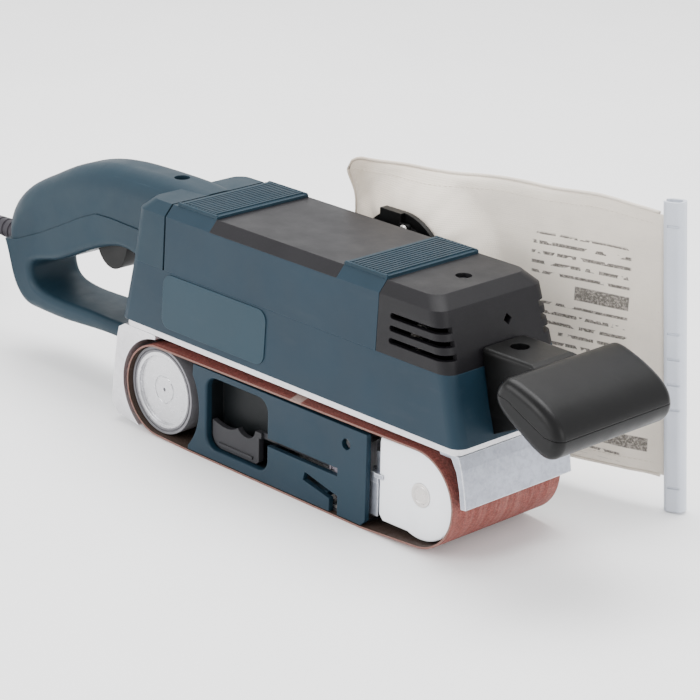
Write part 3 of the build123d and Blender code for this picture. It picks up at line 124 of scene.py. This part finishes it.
class Mat:
    """A material under construction: a principled shader, object coordinates and a few node shortcuts."""

    def __init__(self, name, rough=0.5, **fixed):
        self.m = bpy.data.materials.new(name)
        self.m.use_nodes = True
        self.t = self.m.node_tree
        self.b = self.t.nodes["Principled BSDF"]
        self.b.inputs["Roughness"].default_value = rough
        for k, v in fixed.items():
            self.b.inputs[k.replace("_", " ")].default_value = v
        self.co = self.new("ShaderNodeTexCoord").outputs["Object"]

    def new(self, kind, **props):
        n = self.t.nodes.new(kind)
        for k, v in props.items():
            setattr(n, k, v)
        return n

    def link(self, a, b):
        self.t.links.new(a, b)

    def put(self, sock, v):
        if isinstance(v, (int, float, tuple)):
            sock.default_value = v
        else:
            self.link(v, sock)

    def noise(self, scale, detail=3.0, rough=0.55, stretch=None, distortion=0.0, seed=0.0):
        n = self.new("ShaderNodeTexNoise")
        n.inputs["Scale"].default_value = scale
        n.inputs["Detail"].default_value = detail
        n.inputs["Roughness"].default_value = rough
        n.inputs["Distortion"].default_value = distortion
        src = self.co
        if stretch or seed:
            mp = self.new("ShaderNodeMapping")
            mp.inputs["Scale"].default_value = stretch or (1, 1, 1)
            mp.inputs["Location"].default_value = (seed, seed * 0.7, seed * 1.3)
            self.link(src, mp.inputs["Vector"])
            src = mp.outputs["Vector"]
        self.link(src, n.inputs["Vector"])
        return n.outputs["Fac"]

    def voronoi(self, scale, feature="F1"):
        n = self.new("ShaderNodeTexVoronoi", feature=feature)
        n.inputs["Scale"].default_value = scale
        self.link(self.co, n.inputs["Vector"])
        return n

    def ramp(self, fac, stops):
        n = self.new("ShaderNodeValToRGB")
        cr = n.color_ramp
        while len(cr.elements) < len(stops):
            cr.elements.new(0.5)
        for e, (p, c) in zip(cr.elements, stops):
            e.position = p
            e.color = c if isinstance(c, tuple) else (c, c, c, 1)
        self.link(fac, n.inputs["Fac"])
        return n.outputs["Color"]

    def math(self, op, a, b=0.0, c=0.0, clamp=False):
        n = self.new("ShaderNodeMath", operation=op, use_clamp=clamp)
        self.put(n.inputs[0], a)
        self.put(n.inputs[1], b)
        if op in ("MULTIPLY_ADD", "SMOOTH_MIN", "COMPARE"):
            self.put(n.inputs[2], c)
        return n.outputs[0]

    def mix(self, fac, a, b, blend="MIX"):
        n = self.new("ShaderNodeMix", data_type="RGBA", blend_type=blend)
        self.put(n.inputs[0], fac)
        self.put(n.inputs[6], a)
        self.put(n.inputs[7], b)
        return n.outputs[2]

    def span(self, v, lo, hi, a=0.0, b=1.0):
        n = self.new("ShaderNodeMapRange", clamp=True)
        self.put(n.inputs["Value"], v)
        for k, x in (("From Min", lo), ("From Max", hi), ("To Min", a), ("To Max", b)):
            n.inputs[k].default_value = x
        return n.outputs["Result"]

    def xyz(self):
        n = self.new("ShaderNodeSeparateXYZ")
        self.link(self.co, n.inputs[0])
        return n.outputs

    def bevel(self, radius, samples=4):
        n = self.new("ShaderNodeBevel", samples=samples)
        n.inputs["Radius"].default_value = radius
        return n.outputs["Normal"]

    def edge(self, radius=0.0009, gain=9.0):
        """1 along sharp edges, 0 on faces: how far the rounded normal turns from the face's own."""
        dot = self.new("ShaderNodeVectorMath", operation="DOT_PRODUCT")
        geo = self.new("ShaderNodeNewGeometry")
        self.link(self.bevel(radius), dot.inputs[0])
        self.link(geo.outputs["Normal"], dot.inputs[1])
        return self.math("MULTIPLY", self.math("SUBTRACT", 1.0, dot.outputs["Value"]), gain, clamp=True)

    def bump(self, height, strength, distance, normal=None):
        n = self.new("ShaderNodeBump")
        n.inputs["Strength"].default_value = strength
        n.inputs["Distance"].default_value = distance
        self.link(height, n.inputs["Height"])
        if normal is not None:
            self.link(normal, n.inputs["Normal"])
        return n.outputs["Normal"]

    def colour(self, v):
        self.put(self.b.inputs["Base Color"], v)

    def rough(self, v):
        self.put(self.b.inputs["Roughness"], v)

    def normal(self, v):
        self.link(v, self.b.inputs["Normal"])


def plastic(name, colour, rough=0.42, grain=2600, grain_h=0.00003, vary=0.10, wear=0.22, soft=0.0006, speckle=0.0, spec=0.20, dust=0.04, patch=None):
    """Moulded plastic: fine spark-eroded grain, slow colour drift, lighter rubbed edges, faint dust and scuffs."""
    m = Mat(name, rough, Specular_IOR_Level=spec)
    drift = m.noise(28, 3)
    base = m.ramp(drift, [(0.30, scaled(colour, 1 - vary)), (0.72, scaled(colour, 1 + vary))])
    if speckle:
        sp = m.span(m.noise(1900, 1, 0.4), 0.56, 0.66)
        base = m.mix(m.math("MULTIPLY", sp, speckle), base, scaled(colour, 2.1))
    scuff = m.math("MULTIPLY", m.span(m.noise(90, 4, 0.6, stretch=(0.35, 1, 1.6)), 0.60, 0.78), dust)
    base = m.mix(scuff, base, (0.12, 0.12, 0.12, 1))
    edge = m.math("MULTIPLY", m.edge(0.0008), m.span(m.noise(160, 3), 0.35, 0.65, 0.35, 1.0))
    base = m.mix(m.math("MULTIPLY", edge, wear), base, scaled(colour, 2.4))
    if patch:
        base = patch(m, base)
    m.colour(base)
    m.rough(m.math("ADD", m.span(m.noise(55, 4), 0.3, 0.7, rough - 0.06, rough + 0.08), m.math("MULTIPLY", scuff, 0.8)))
    n = m.bump(m.noise(60, 2), 0.25, 0.0004, m.bevel(soft))
    m.normal(m.bump(m.noise(grain, 2, 0.6), 0.55, grain_h, n))
    return m.m


def recess_painted_shade(m, base):
    """Painted shade: the floor and deep walls of the side cover's recess are painted near-black."""
    x, y, z = m.xyz()
    inside = m.math("MULTIPLY", m.span(x, -0.0585, -0.0580), m.span(x, -0.0075, -0.0080))
    inside = m.math("MULTIPLY", inside, m.span(y, -0.0338, -0.0333))
    return m.mix(inside, base, rgb("#0d1012"))


def arm_painted_shade(m, base):
    """Painted shade: the lever's arm, down in its slot, is painted darker than its handle."""
    x, y, z = m.xyz()
    return m.mix(m.span(x, 0.0335, 0.0325), base, rgb("#29292c"))


def metal(name, colour, rough=0.32, brushed=None, mottled=0.0, edges=0.0, metallic=1.0, grain_h=0.00002, vary=0.08, soft=0.0004):
    m = Mat(name, rough, Metallic=metallic)
    base = m.ramp(m.noise(45, 4), [(0.3, scaled(colour, 1 - vary)), (0.7, scaled(colour, 1 + vary))])
    if mottled:
        spots = m.span(m.noise(260, 5, 0.7, distortion=0.6), 0.42, 0.66)
        base = m.mix(m.math("MULTIPLY", spots, mottled), base, scaled(colour, 0.50))
    if edges:
        e = m.math("MULTIPLY", m.edge(0.0009, 7.0), m.span(m.noise(220, 3), 0.3, 0.55, 0.5, 1.0))
        base = m.mix(m.math("MULTIPLY", e, edges), base, (0.90, 0.91, 0.93, 1))
    m.colour(base)
    st = brushed or (1, 1, 1)
    m.rough(m.span(m.noise(420, 4, 0.6, stretch=st), 0.3, 0.7, max(0.04, rough - 0.09), rough + 0.12))
    n = m.bump(m.noise(1500 if not brushed else 900, 3, 0.6, stretch=st), 0.6, grain_h, m.bevel(soft))
    if mottled:
        n = m.bump(m.noise(340, 4, 0.65), 0.8, 0.00012, n)
    m.normal(n)
    return m.m


# ------------------------------------------------------------------ materials
blue = plastic("housing_blue", rgb("#132733"), rough=0.44, wear=0.30)
# the side cover's recess is painted near-black as shade
cover_blue = plastic("cover_blue", rgb("#132733"), rough=0.44, wear=0.30, patch=recess_painted_shade)
handle_blue = plastic("handle_blue", rgb("#152934"), rough=0.46, wear=0.22)
band_blue = plastic("band_blue", rgb("#152934"), rough=0.52, wear=0.55, grain=1800, soft=0.0003)
panel_grey = plastic("panel_grey", rgb("#151417"), rough=0.40, speckle=0.28, grain=1500, grain_h=0.00006, wear=0.25)
cap_grey = plastic("cap_grey", rgb("#0f0e11"), rough=0.46, speckle=0.34, grain=1500, grain_h=0.00007, wear=0.30)
black = plastic("black_plastic", rgb("#030303"), rough=0.40, wear=0.18, grain=1900, grain_h=0.00004, dust=0.03)
knob_black = plastic("knob_black", rgb("#030304"), rough=0.36, wear=0.10, grain=2200, grain_h=0.00004, soft=0.0008, dust=0.03)
# the lever's arm is painted dark as shade
lever_grey = plastic("lever_grey", rgb("#746e76"), rough=0.45, wear=0.35, patch=arm_painted_shade)
clip_grey = plastic("clip_grey", rgb("#c3c8d2"), rough=0.34, wear=0.0, vary=0.04, dust=0.0)
label = plastic("label_plate", rgb("#192f3a"), rough=0.33, wear=0.4, vary=0.04, grain=900, grain_h=0.00001)
carbon = plastic("carbon", rgb("#1a1a1b"), rough=0.6)
cast = metal("cast_alloy", rgb("#a9adb8"), rough=0.40, mottled=0.42, edges=0.9, metallic=0.85)
frame_alloy = metal("frame_alloy", rgb("#d2d1d4"), rough=0.38, mottled=0.22, edges=0.8, metallic=0.75)
steel = metal("machined_steel", rgb("#bdb9b4"), rough=0.28, brushed=(1, 1, 14), edges=0.4)
disc_steel = metal("turned_disc", rgb("#c9c9cc"), rough=0.30, edges=0.5, vary=0.05)
axle_steel = metal("axle_steel", rgb("#d5d0cc"), rough=0.30, edges=0.4)
roller_alloy = metal("turned_alloy", rgb("#b8babd"), rough=0.33, brushed=(1, 14, 1))
dark_steel = metal("dark_steel", rgb("#77757a"), rough=0.38, edges=0.5)
brass = metal("nickel_pins", rgb("#cfc3a4"), rough=0.24, edges=0.3)
copper = metal("copper", rgb("#b8734a"), rough=0.3)
winding = metal("winding", rgb("#a5572f"), rough=0.42, brushed=(1, 9, 9), metallic=0.7)


def white_cap():
    m = Mat("cap_white", 0.34, Specular_IOR_Level=0.5)
    c = rgb("#eef0f4")
    base = m.ramp(m.noise(30, 3), [(0.3, scaled(c, 0.955)), (0.7, c)])
    smudge = m.math("MULTIPLY", m.span(m.noise(70, 5, 0.65), 0.58, 0.8), 0.14)
    base = m.mix(smudge, base, rgb("#a9a6a6"))
    base = m.mix(m.math("MULTIPLY", m.edge(0.0007, 7.0), 0.35), base, rgb("#b9bcc4"))
    m.colour(base)
    m.rough(m.span(m.noise(120, 4), 0.3, 0.7, 0.28, 0.42))
    m.normal(m.bump(m.noise(700, 2), 0.3, 0.00002, m.bevel(0.0006)))
    return m.m


cap_white = white_cap()


def rubber(name, colour, rough=0.62, vary=0.12):
    m = Mat(name, rough, Specular_IOR_Level=0.35)
    base = m.ramp(m.noise(80, 4), [(0.3, scaled(colour, 1 - vary)), (0.7, scaled(colour, 1 + vary))])
    dusty = m.math("MULTIPLY", m.span(m.noise(240, 5, 0.7), 0.5, 0.75), 0.22)
    base = m.mix(dusty, base, scaled(colour, 2.0))
    m.colour(base)
    m.rough(m.span(m.noise(150, 3), 0.3, 0.7, rough - 0.1, rough + 0.1))
    m.normal(m.bump(m.noise(1300, 3), 0.5, 0.00004, m.bevel(0.0005)))
    return m.m


sleeve_rubber = rubber("sleeve_rubber", rgb("#6f6e72"))
cord_rubber = rubber("cord_rubber", rgb("#26232a"), rough=0.46, vary=0.10)
graphite = rubber("graphite_pad", rgb("#2c2c2e"), rough=0.5)
belt_rubber = rubber("toothed_belt", rgb("#232325"), rough=0.55)


def abrasive():
    """Red-brown aluminium oxide grit on cloth: sharp grains, dark gaps, worn streaks, pale cut edges and the taped splice."""
    m = Mat("abrasive_belt", 0.72, Specular_IOR_Level=0.35)
    c = rgb("#7d423b")
    grit = m.voronoi(1500)
    cell = m.ramp(grit.outputs["Color"], [(0.0, scaled(c, 0.62)), (0.5, c), (1.0, scaled(c, 1.55))])
    gaps = m.span(grit.outputs["Distance"], 0.30, 0.75)
    base = m.mix(m.math("MULTIPLY", gaps, 0.45), cell, scaled(c, 0.35))
    streak = m.span(m.noise(60, 4, 0.6, stretch=(0.25, 6.0, 0.25)), 0.45, 0.75, 0.0, 0.22)
    base = m.mix(streak, base, rgb("#c79a8d"))
    x, y, z = m.xyz()
    slant = m.math("ADD", x, m.math("MULTIPLY", m.math("ADD", y, 0.0375), 0.35))
    splice = m.math("MULTIPLY", m.span(slant, 0.0070, 0.0075), m.span(slant, 0.0150, 0.0145))
    splice = m.math("MULTIPLY", splice, m.span(z, 0.045, 0.046))
    base = m.mix(m.math("MULTIPLY", splice, 0.65), base, rgb("#c9b6ad"))
    rim = m.span(m.math("ABSOLUTE", y), 0.03735, 0.03748)
    fibre = m.ramp(m.noise(2600, 3, 0.7), [(0.3, rgb("#7d4a40")), (0.7, rgb("#c7a79a"))])
    base = m.mix(m.math("MULTIPLY", rim, 0.55), base, fibre)
    # painted shade: the backing cloth, inside the loop, is painted dark brown
    geo = m.new("ShaderNodeNewGeometry")
    nrm = m.new("ShaderNodeSeparateXYZ")
    m.link(geo.outputs["True Normal"], nrm.inputs[0])
    out = m.math("ADD", m.math("MULTIPLY", nrm.outputs[0], x), m.math("MULTIPLY", nrm.outputs[2], m.math("SUBTRACT", z, 0.0268)))
    base = m.mix(m.span(out, 0.0004, -0.0004), base, rgb("#33261f"))
    m.colour(base)
    m.rough(m.span(m.noise(300, 3), 0.3, 0.7, 0.6, 0.85))
    h = m.math("SUBTRACT", 1.0, grit.outputs["Distance"])
    m.normal(m.bump(h, 0.9, 0.00022, m.bump(m.noise(600, 3), 0.4, 0.0001)))
    return m.m


belt_mat = abrasive()


def cloth():
    """Unbleached cotton: plain weave, slubs, a dust stain towards the back end and rows of faded generic bars where the
    print is.
    """
    m = Mat("bag_cloth", 0.86, Specular_IOR_Level=0.2, Sheen_Weight=0.25, Sheen_Roughness=0.5)
    c = rgb("#e3dacd")
    x, y, z = m.xyz()
    base = m.ramp(m.noise(22, 4), [(0.3, scaled(c, 0.90)), (0.72, scaled(c, 1.05))])
    slub = m.span(m.noise(500, 3, 0.7, stretch=(0.12, 0.12, 3.0)), 0.56, 0.74, 0.0, 0.30)
    base = m.mix(slub, base, scaled(c, 0.72))
    slub2 = m.span(m.noise(500, 3, 0.7, stretch=(3.0, 0.12, 0.12), seed=3.0), 0.58, 0.74, 0.0, 0.22)
    base = m.mix(slub2, base, scaled(c, 1.12))
    fleck = m.span(m.voronoi(420).outputs["Distance"], 0.10, 0.04, 0.0, 0.5)
    base = m.mix(m.math("MULTIPLY", fleck, m.span(m.noise(90, 2), 0.55, 0.6)), base, rgb("#8c7a63"))
    # rows of bars, broken into words of uneven length
    row = m.math("FRACT", m.math("MULTIPLY", z, 1 / 0.0051))
    line = m.math("MULTIPLY", m.span(row, 0.26, 0.32), m.span(row, 0.66, 0.60))
    words = m.span(m.noise(1.0, 1, 0.5, stretch=(210, 0.01, 196.1)), 0.42, 0.45)
    ink = m.math("MULTIPLY", line, words)
    area = m.math("MULTIPLY", m.span(x, 0.062, 0.063), m.span(x, 0.1145, 0.1135))
    area = m.math("MULTIPLY", area, m.math("MULTIPLY", m.span(z, 0.018, 0.019), m.span(z, 0.1305, 0.1295)))
    plate = m.math("MULTIPLY", m.math("MULTIPLY", m.span(x, 0.0855, 0.086), m.span(x, 0.1145, 0.114)),
                   m.math("MULTIPLY", m.span(z, 0.098, 0.0985), m.span(z, 0.1055, 0.105)))
    plate2 = m.math("MULTIPLY", m.math("MULTIPLY", m.span(x, 0.098, 0.0985), m.span(x, 0.128, 0.1275)),
                    m.math("MULTIPLY", m.span(z, 0.0265, 0.027), m.span(z, 0.034, 0.0335)))
    around = m.math("MULTIPLY", m.math("MULTIPLY", m.span(z, 0.0945, 0.095), m.span(z, 0.1090, 0.1085)), 1.0)
    around2 = m.math("MULTIPLY", m.span(z, 0.023, 0.0235), m.span(z, 0.0375, 0.037))
    free = m.math("SUBTRACT", 1.0, m.math("MAXIMUM", around, around2))
    ink = m.math("MULTIPLY", m.math("MULTIPLY", ink, area), free)
    ink = m.math("MAXIMUM", ink, m.math("MAXIMUM", plate, plate2))
    inner = m.span(m.math("SUBTRACT", y, m.math("MULTIPLY", x, 0.262)), 0.0625, 0.0605)
    worn = m.span(m.noise(900, 4, 0.7), 0.30, 0.55, 0.35, 0.88)
    ink = m.math("MULTIPLY", m.math("MULTIPLY", ink, inner), worn)
    base = m.mix(ink, base, rgb("#3a3735"))
    # dust ground into the cloth round the collar and behind it
    stain = m.math("MULTIPLY", m.span(x, 0.012, -0.040), m.span(m.noise(34, 4, 0.6), 0.30, 0.70, 0.15, 0.60))
    base = m.mix(stain, base, rgb("#a28f78"))
    m.colour(base)
    m.rough(m.span(m.noise(200, 3), 0.3, 0.7, 0.78, 0.92))
    wv = []
    for axis in ("X", "Z"):
        w = m.new("ShaderNodeTexWave", wave_type="BANDS", bands_direction=axis)
        w.inputs["Scale"].default_value = 340
        w.inputs["Distortion"].default_value = 1.2
        w.inputs["Detail"].default_value = 2
        w.inputs["Detail Scale"].default_value = 2.0
        m.link(m.co, w.inputs["Vector"])
        wv.append(w.outputs["Fac"])
    weave = m.math("MULTIPLY", wv[0], wv[1])
    n = m.bump(m.noise(70, 4, 0.6), 0.5, 0.0009)
    n = m.bump(slub, 0.4, 0.0002, n)
    m.normal(m.bump(weave, 0.6, 0.00016, n))
    return m.m


bag_cloth = cloth()


def thread():
    m = Mat("thread", 0.8)
    c = rgb("#d9cfc0")
    m.colour(m.ramp(m.noise(900, 3), [(0.3, scaled(c, 0.8)), (0.7, c)]))
    m.normal(m.bump(m.noise(3000, 2), 0.5, 0.00005))
    return m.m


thread_mat = thread()

GIVEN = {
    blue: "lower_housing upper_housing rear_cover_ belt_cover",
    cover_blue: "side_cover",
    handle_blue: "rear_cover handle_lower_shell",
    band_blue: "rear_grip_band front_grip_band",
    panel_grey: "top_panel dust_duct brush_bracket switch_module",
    cap_grey: "front_cap lock_button",
    black: "knob_bracket bag_collar trigger cooling_fan",
    knob_black: "knob_upper_shell knob_lower_shell",
    lever_grey: "tension_lever",
    cast: "front_guard gear_housing front_fork large_pulley small_pulley tracking_plate",
    frame_alloy: "base_frame rear_guard",
    cap_white: "fork_end_cap",
    steel: "platen drive_shaft ball_bearings pivot_pins cross_shaft bevel_pinion bevel_gear armature_shaft tension_spring",
    disc_steel: "drive_roller_core",
    axle_steel: "front_axle",
    dark_steel: "housing_screws tracking_screw stator armature_core",
    roller_alloy: "front_roller",
    brass: "plug_pins",
    copper: "commutator",
    carbon: "carbon_brushes",
    belt_mat: "sanding_belt",
    graphite: "platen_pad",
    sleeve_rubber: "drive_roller_sleeve",
    belt_rubber: "drive_belt",
    cord_rubber: "strain_relief plug_body cord cord_coil",
    label: "nameplate",
    clip_grey: "bag_clip",
    bag_cloth: "dust_bag",
}
left = set(nodes)
for mat, names in GIVEN.items():
    for n in names.split():
        if n in nodes:
            nodes[n].data.materials.clear()
            nodes[n].data.materials.append(mat)
            left.discard(n)
if left:
    raise RuntimeError(f"no material for {sorted(left)}")
cord.data.materials.append(cord_rubber)


def mesh_object(name, verts, faces, mat, body, smooth=True):
    me = bpy.data.meshes.new(name)
    me.from_pydata([tuple(v) for v in verts], [], faces)
    me.update()
    o = bpy.data.objects.new(name, me)
    bpy.context.scene.collection.objects.link(o)
    me.materials.append(mat)
    for p in me.polygons:
        p.use_smooth = smooth
    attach(o, body)
    return o


# ------------------------------------------------------------------ dust bag
INNER = [(-44, 50.2), (-16, 50.4), (30, 62.8), (140.2, 94.4)]
OUTER = [(-44, 61.6), (-20, 72.6), (20, 79.6), (90, 89.8), (140.2, 96.5)]


def along(line, x):
    for (xa, ya), (xb, yb) in zip(line, line[1:]):
        if x <= xb or (xb, yb) == line[-1]:
            t = (x - xa) / (xb - xa)
            return ya + (yb - ya) * max(0.0, min(1.0, t))


TOP = [(-46, 147.0), (-20, 147.6), (0, 148.2), (30, 150.8), (60, 152.2), (100, 152.8), (138, 151.4)]


def soft_line(line, x):
    return sum(along(line, min(140.2, max(-44.0, x + d))) for d in (-9, -4.5, 0, 4.5, 9)) / 5


def smooth(t):
    t = max(0.0, min(1.0, t))
    return t * t * (3 - 2 * t)


def bag_point(u, v, side):
    """u 0..1 from the closed back edge to the clip, v 0..1 from the bottom seam to the top seam, side -1 towards the machine."""
    x0 = -46 + 184 * u
    top = along(TOP, x0) - 0.5 * math.sin(u * 21 + 0.6)
    d = x0 + 46
    if d < 8:
        top -= 8 - math.sqrt(64 - (8 - d) ** 2)
    bottom = 15.2 + 1.1 * math.sin(u * 7.3) + 3.0 * (1 - smooth(u / 0.08))
    z = bottom + (top - bottom) * v
    x_back = -45.5 - 7.0 * math.exp(-((z - 140) / 9) ** 2)
    x = x_back + (140.0 - 0.0614 * z - x_back) * u
    mid_y = (soft_line(INNER, x) + soft_line(OUTER, x)) / 2
    half = (soft_line(OUTER, x) - soft_line(INNER, x)) / 2
    # pillow section: thin seams top and bottom, fuller low down where dust settles
    fill = max(0.0, 1 - abs(2 * v - 1) ** 3.2) ** 0.55
    fill *= 1.0 - 0.22 * v
    back = smooth(u / 0.055) ** 0.6
    half_here = max(0.45, half * fill * back)
    p = Vector((x * 0.02, z * 0.02, side * 3.7))
    fold = noise.noise(p) * 1.0 + noise.noise(p * 2.3) * 0.55 + noise.noise(p * 5.1) * 0.20
    # long soft folds that fan out of the clip and hang from the collar
    fan = math.sin(v * 19 + 2.2 * noise.noise(Vector((x * 0.012, v * 2.0, side)))) * smooth((u - 0.62) / 0.38) * (1 - smooth((u - 0.93) / 0.07)) * 0.55
    sag = math.sin(u * 21 + v * 2.4 + side) * 0.38 * smooth((0.9 - v) / 0.5)
    # creases below the top hem and rays round the mouth
    hem = math.sin(u * 47 + 3.0 * noise.noise(Vector((u * 6, 0.0, side)))) * smooth((v - 0.72) / 0.16) * (1 - smooth((v - 0.93) / 0.07)) * 0.5
    ray = math.atan2(z - 100.0, x)
    far = math.hypot(x, z - 100.0)
    rays = math.sin(ray * 9 + 1.6 * math.sin(ray * 2)) * smooth((far - 34) / 12) * (1 - smooth((far - 52) / 26)) * 0.8
    wrinkle = (1.35 * fold + fan + sag + hem + rays) * min(1.0, half_here / 3.0) * smooth((1 - u) / 0.05)
    y = mid_y + side * half_here + wrinkle * 0.9
    if side < 0:
        y = max(y, soft_line(INNER, x) - 0.8)
    y += (95.4 - 0.029 * z - mid_y) * smooth((u - 0.88) / 0.12)
    # the mouth: cloth gathered onto the collar on the machine side
    if side < 0:
        dx, dz = x - 0.0, z - 100.0
        r = math.hypot(dx, dz)
        if r < 52:
            pull = 1 - smooth((r - 27.5) / 22.0)
            a = math.atan2(dz, dx)
            pucker = (math.sin(a * 13 + 1.3 * math.sin(a * 3)) * 0.75 + math.sin(a * 23 + 1.0) * 0.3) * smooth((r - 26) / 5) * (1 - smooth((r - 34) / 17))
            y = y * (1 - pull) + 47.4 * pull + pucker
            if r < 26.5:
                y = 50.6 if r < 24.0 else 50.6 + (47.4 - 50.6) * smooth((r - 24.0) / 2.5)
            y = max(y, 46.9)
    return x, y, z


NU, NV = 96, 78
verts, index = [], {}
for side in (-1, 1):
    for i in range(NU + 1):
        for j in range(NV + 1):
            if side > 0 and (j in (0, NV) or i in (0, NU)):
                index[(side, i, j)] = index[(-1, i, j)]
                continue
            u, v = i / NU, j / NV
            x, y, z = bag_point(u, v, side)
            if j in (0, NV) or i in (0, NU):
                y = (soft_line(INNER, x) + soft_line(OUTER, x)) / 2
                y += (95.4 - 0.029 * z - y) * smooth((u - 0.88) / 0.12) + 0.4 * noise.noise(Vector((x * 0.05, z * 0.05, 9)))
            index[(side, i, j)] = len(verts)
            verts.append((x * MM, y * MM, z * MM))
faces = []
for side in (-1, 1):
    for i in range(NU):
        for j in range(NV):
            q = [index[(side, i, j)], index[(side, i + 1, j)], index[(side, i + 1, j + 1)], index[(side, i, j + 1)]]
            faces.append(q if side < 0 else q[::-1])
bag = mesh_object("dust_bag_cloth", verts, faces, bag_cloth, "dust_bag")
sub = bag.modifiers.new("smooth", "SUBSURF")
sub.levels = sub.render_levels = 1
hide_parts("dust_bag")


# seam beads and stitches along the sewn edges
def tube(name, points, radius, mat, body, sides=8, closed=False):
    vs, fs = [], []
    n = len(points)
    for k, p in enumerate(points):
        a = points[(k - 1) % n] if (closed or k > 0) else p
        b = points[(k + 1) % n] if (closed or k < n - 1) else p
        t = (Vector(b) - Vector(a)).normalized()
        side = t.cross(Vector((0, 0, 1)))
        if side.length < 0.1:
            side = t.cross(Vector((1, 0, 0)))
        side.normalize()
        up = side.cross(t).normalized()
        for s in range(sides):
            w = 2 * math.pi * s / sides
            vs.append(Vector(p) + side * radius * math.cos(w) + up * radius * math.sin(w))
    for k in range(n if closed else n - 1):
        k2 = (k + 1) % n
        for s in range(sides):
            s2 = (s + 1) % sides
            fs.append((k * sides + s, k * sides + s2, k2 * sides + s2, k2 * sides + s))
    if not closed:
        fs.append(tuple(range(sides))[::-1])
        fs.append(tuple((n - 1) * sides + s for s in range(sides)))
    return mesh_object(name, vs, fs, mat, body)


def edge_line(which, count=90):
    pts = []
    for k in range(count + 1):
        t = k / count
        if which == "top":
            i, j = t * NU, NV
        elif which == "bottom":
            i, j = t * NU, 0
        else:
            i, j = 0, t * NV
        i, j = round(i), round(j)
        pts.append(verts[index[(-1, i, j)]])
    out = [pts[0]]
    for p in pts[1:]:
        if (Vector(p) - Vector(out[-1])).length > 1e-4:
            out.append(p)
    return out


for which in ("top", "bottom", "back"):
    line = edge_line(which)
    if which != "back":
        line = line[:-2]
    tube(f"bag_hem_{which}", line, 0.00085, bag_cloth, "dust_bag")


def surface_at(u, v, side):
    i, j = u * NU, v * NV
    i0, j0 = min(NU - 1, int(i)), min(NV - 1, int(j))
    a, b = i - i0, j - j0
    c = [Vector(verts[index[(side, i0 + di, j0 + dj)]]) for di, dj in ((0, 0), (1, 0), (0, 1), (1, 1))]
    return c[0] * (1 - a) * (1 - b) + c[1] * a * (1 - b) + c[2] * (1 - a) * b + c[3] * a * b


def stitches(name, spans, side):
    vs, fs = [], []
    for (ua, va), (ub, vb), count in spans:
        for k in range(count):
            t0, t1 = k / count, (k + 0.62) / count
            p = surface_at(ua + (ub - ua) * t0, va + (vb - va) * t0, side)
            q = surface_at(ua + (ub - ua) * t1, va + (vb - va) * t1, side)
            out = Vector((0.25, -0.97, 0)) if side < 0 else Vector((-0.2, 0.98, 0))
            d = (q - p).normalized()
            w = d.cross(out).normalized()
            base = len(vs)
            for c, rr in ((p, 0.00008), (p.lerp(q, 0.25), 0.00015), (p.lerp(q, 0.75), 0.00015), (q, 0.00008)):
                for s in range(6):
                    g = 2 * math.pi * s / 6
                    vs.append(c + out * (0.00008 + rr * math.sin(g)) + w * rr * math.cos(g))
            for ring in range(3):
                for s in range(6):
                    s2 = (s + 1) % 6
                    fs.append((base + ring * 6 + s, base + ring * 6 + s2, base + ring * 6 + 6 + s2, base + ring * 6 + 6 + s))
            fs.append(tuple(base + s for s in range(6))[::-1])
            fs.append(tuple(base + 18 + s for s in range(6)))
    return mesh_object(name, vs, fs, thread_mat, "dust_bag")


for side, tag in ((-1, "near"), (1, "far")):
    stitches(f"bag_stitches_{tag}", [((0.02, 0.955), (0.965, 0.955), 64), ((0.02, 0.045), (0.965, 0.045), 64), ((0.028, 0.05), (0.028, 0.95), 48)], side)

# clasp that locks the collar on its outlet: a small flattened steel ellipsoid
cl = bmesh.new()
bmesh.ops.create_uvsphere(cl, u_segments=20, v_segments=10, radius=1.0)
for v in cl.verts:
    v.co = Vector((v.co.x * 0.0023, v.co.y * 0.0009, v.co.z * 0.0017))
me = bpy.data.meshes.new("collar_clasp")
cl.to_mesh(me)
cl.free()
clasp = bpy.data.objects.new("collar_clasp", me)
clasp.location = (0.0042, 0.0408, 0.1234)
bpy.context.scene.collection.objects.link(clasp)
me.materials.append(axle_steel)
for p in me.polygons:
    p.use_smooth = True
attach(clasp, "dust_bag")

# ------------------------------------------------------------------ floor and light
def floor_material():
    m = Mat("floor", 0.6, Specular_IOR_Level=0.25)
    m.colour(m.ramp(m.noise(3, 3), [(0.3, (0.93, 0.93, 0.935, 1)), (0.7, (0.96, 0.96, 0.962, 1))]))
    m.rough(m.span(m.noise(12, 3), 0.3, 0.7, 0.52, 0.66))
    m.normal(m.bump(m.noise(400, 2), 0.1, 0.0001))
    return m.m


fm = bpy.data.meshes.new("floor")
fm.from_pydata([(-9, -9, 0), (9, -9, 0), (9, 9, 0), (-9, 9, 0)], [], [(0, 1, 2, 3)])
floor = bpy.data.objects.new("floor", fm)
floor.location = (0, 0, -0.0002)
fm.materials.append(floor_material())
bpy.context.scene.collection.objects.link(floor)

world = bpy.data.worlds.new("studio")
bpy.context.scene.world = world
world.use_nodes = True
world.node_tree.nodes["Background"].inputs["Color"].default_value = (1.0, 1.0, 1.0, 1)
world.node_tree.nodes["Background"].inputs["Strength"].default_value = 1.55


def softbox(name, at, target, size, size_y, power, colour=(1, 1, 1)):
    light = bpy.data.lights.new(name, "AREA")
    light.shape = "RECTANGLE"
    light.size, light.size_y = size, size_y
    light.energy = power
    light.color = colour
    o = bpy.data.objects.new(name, light)
    o.location = at
    o.rotation_mode = "QUATERNION"
    o.rotation_quaternion = (Vector(target) - Vector(at)).to_track_quat("-Z", "Y")
    bpy.context.scene.collection.objects.link(o)


softbox("overhead", (-0.2, 0.35, 1.5), (0, 0, 0.08), 1.3, 0.9, 34)
softbox("front_left", (-0.5, -1.5, 0.8), (0, 0, 0.06), 0.9, 0.9, 20)
softbox("front_right", (1.6, 0.1, 0.6), (0.05, 0, 0.06), 0.6, 0.9, 9)
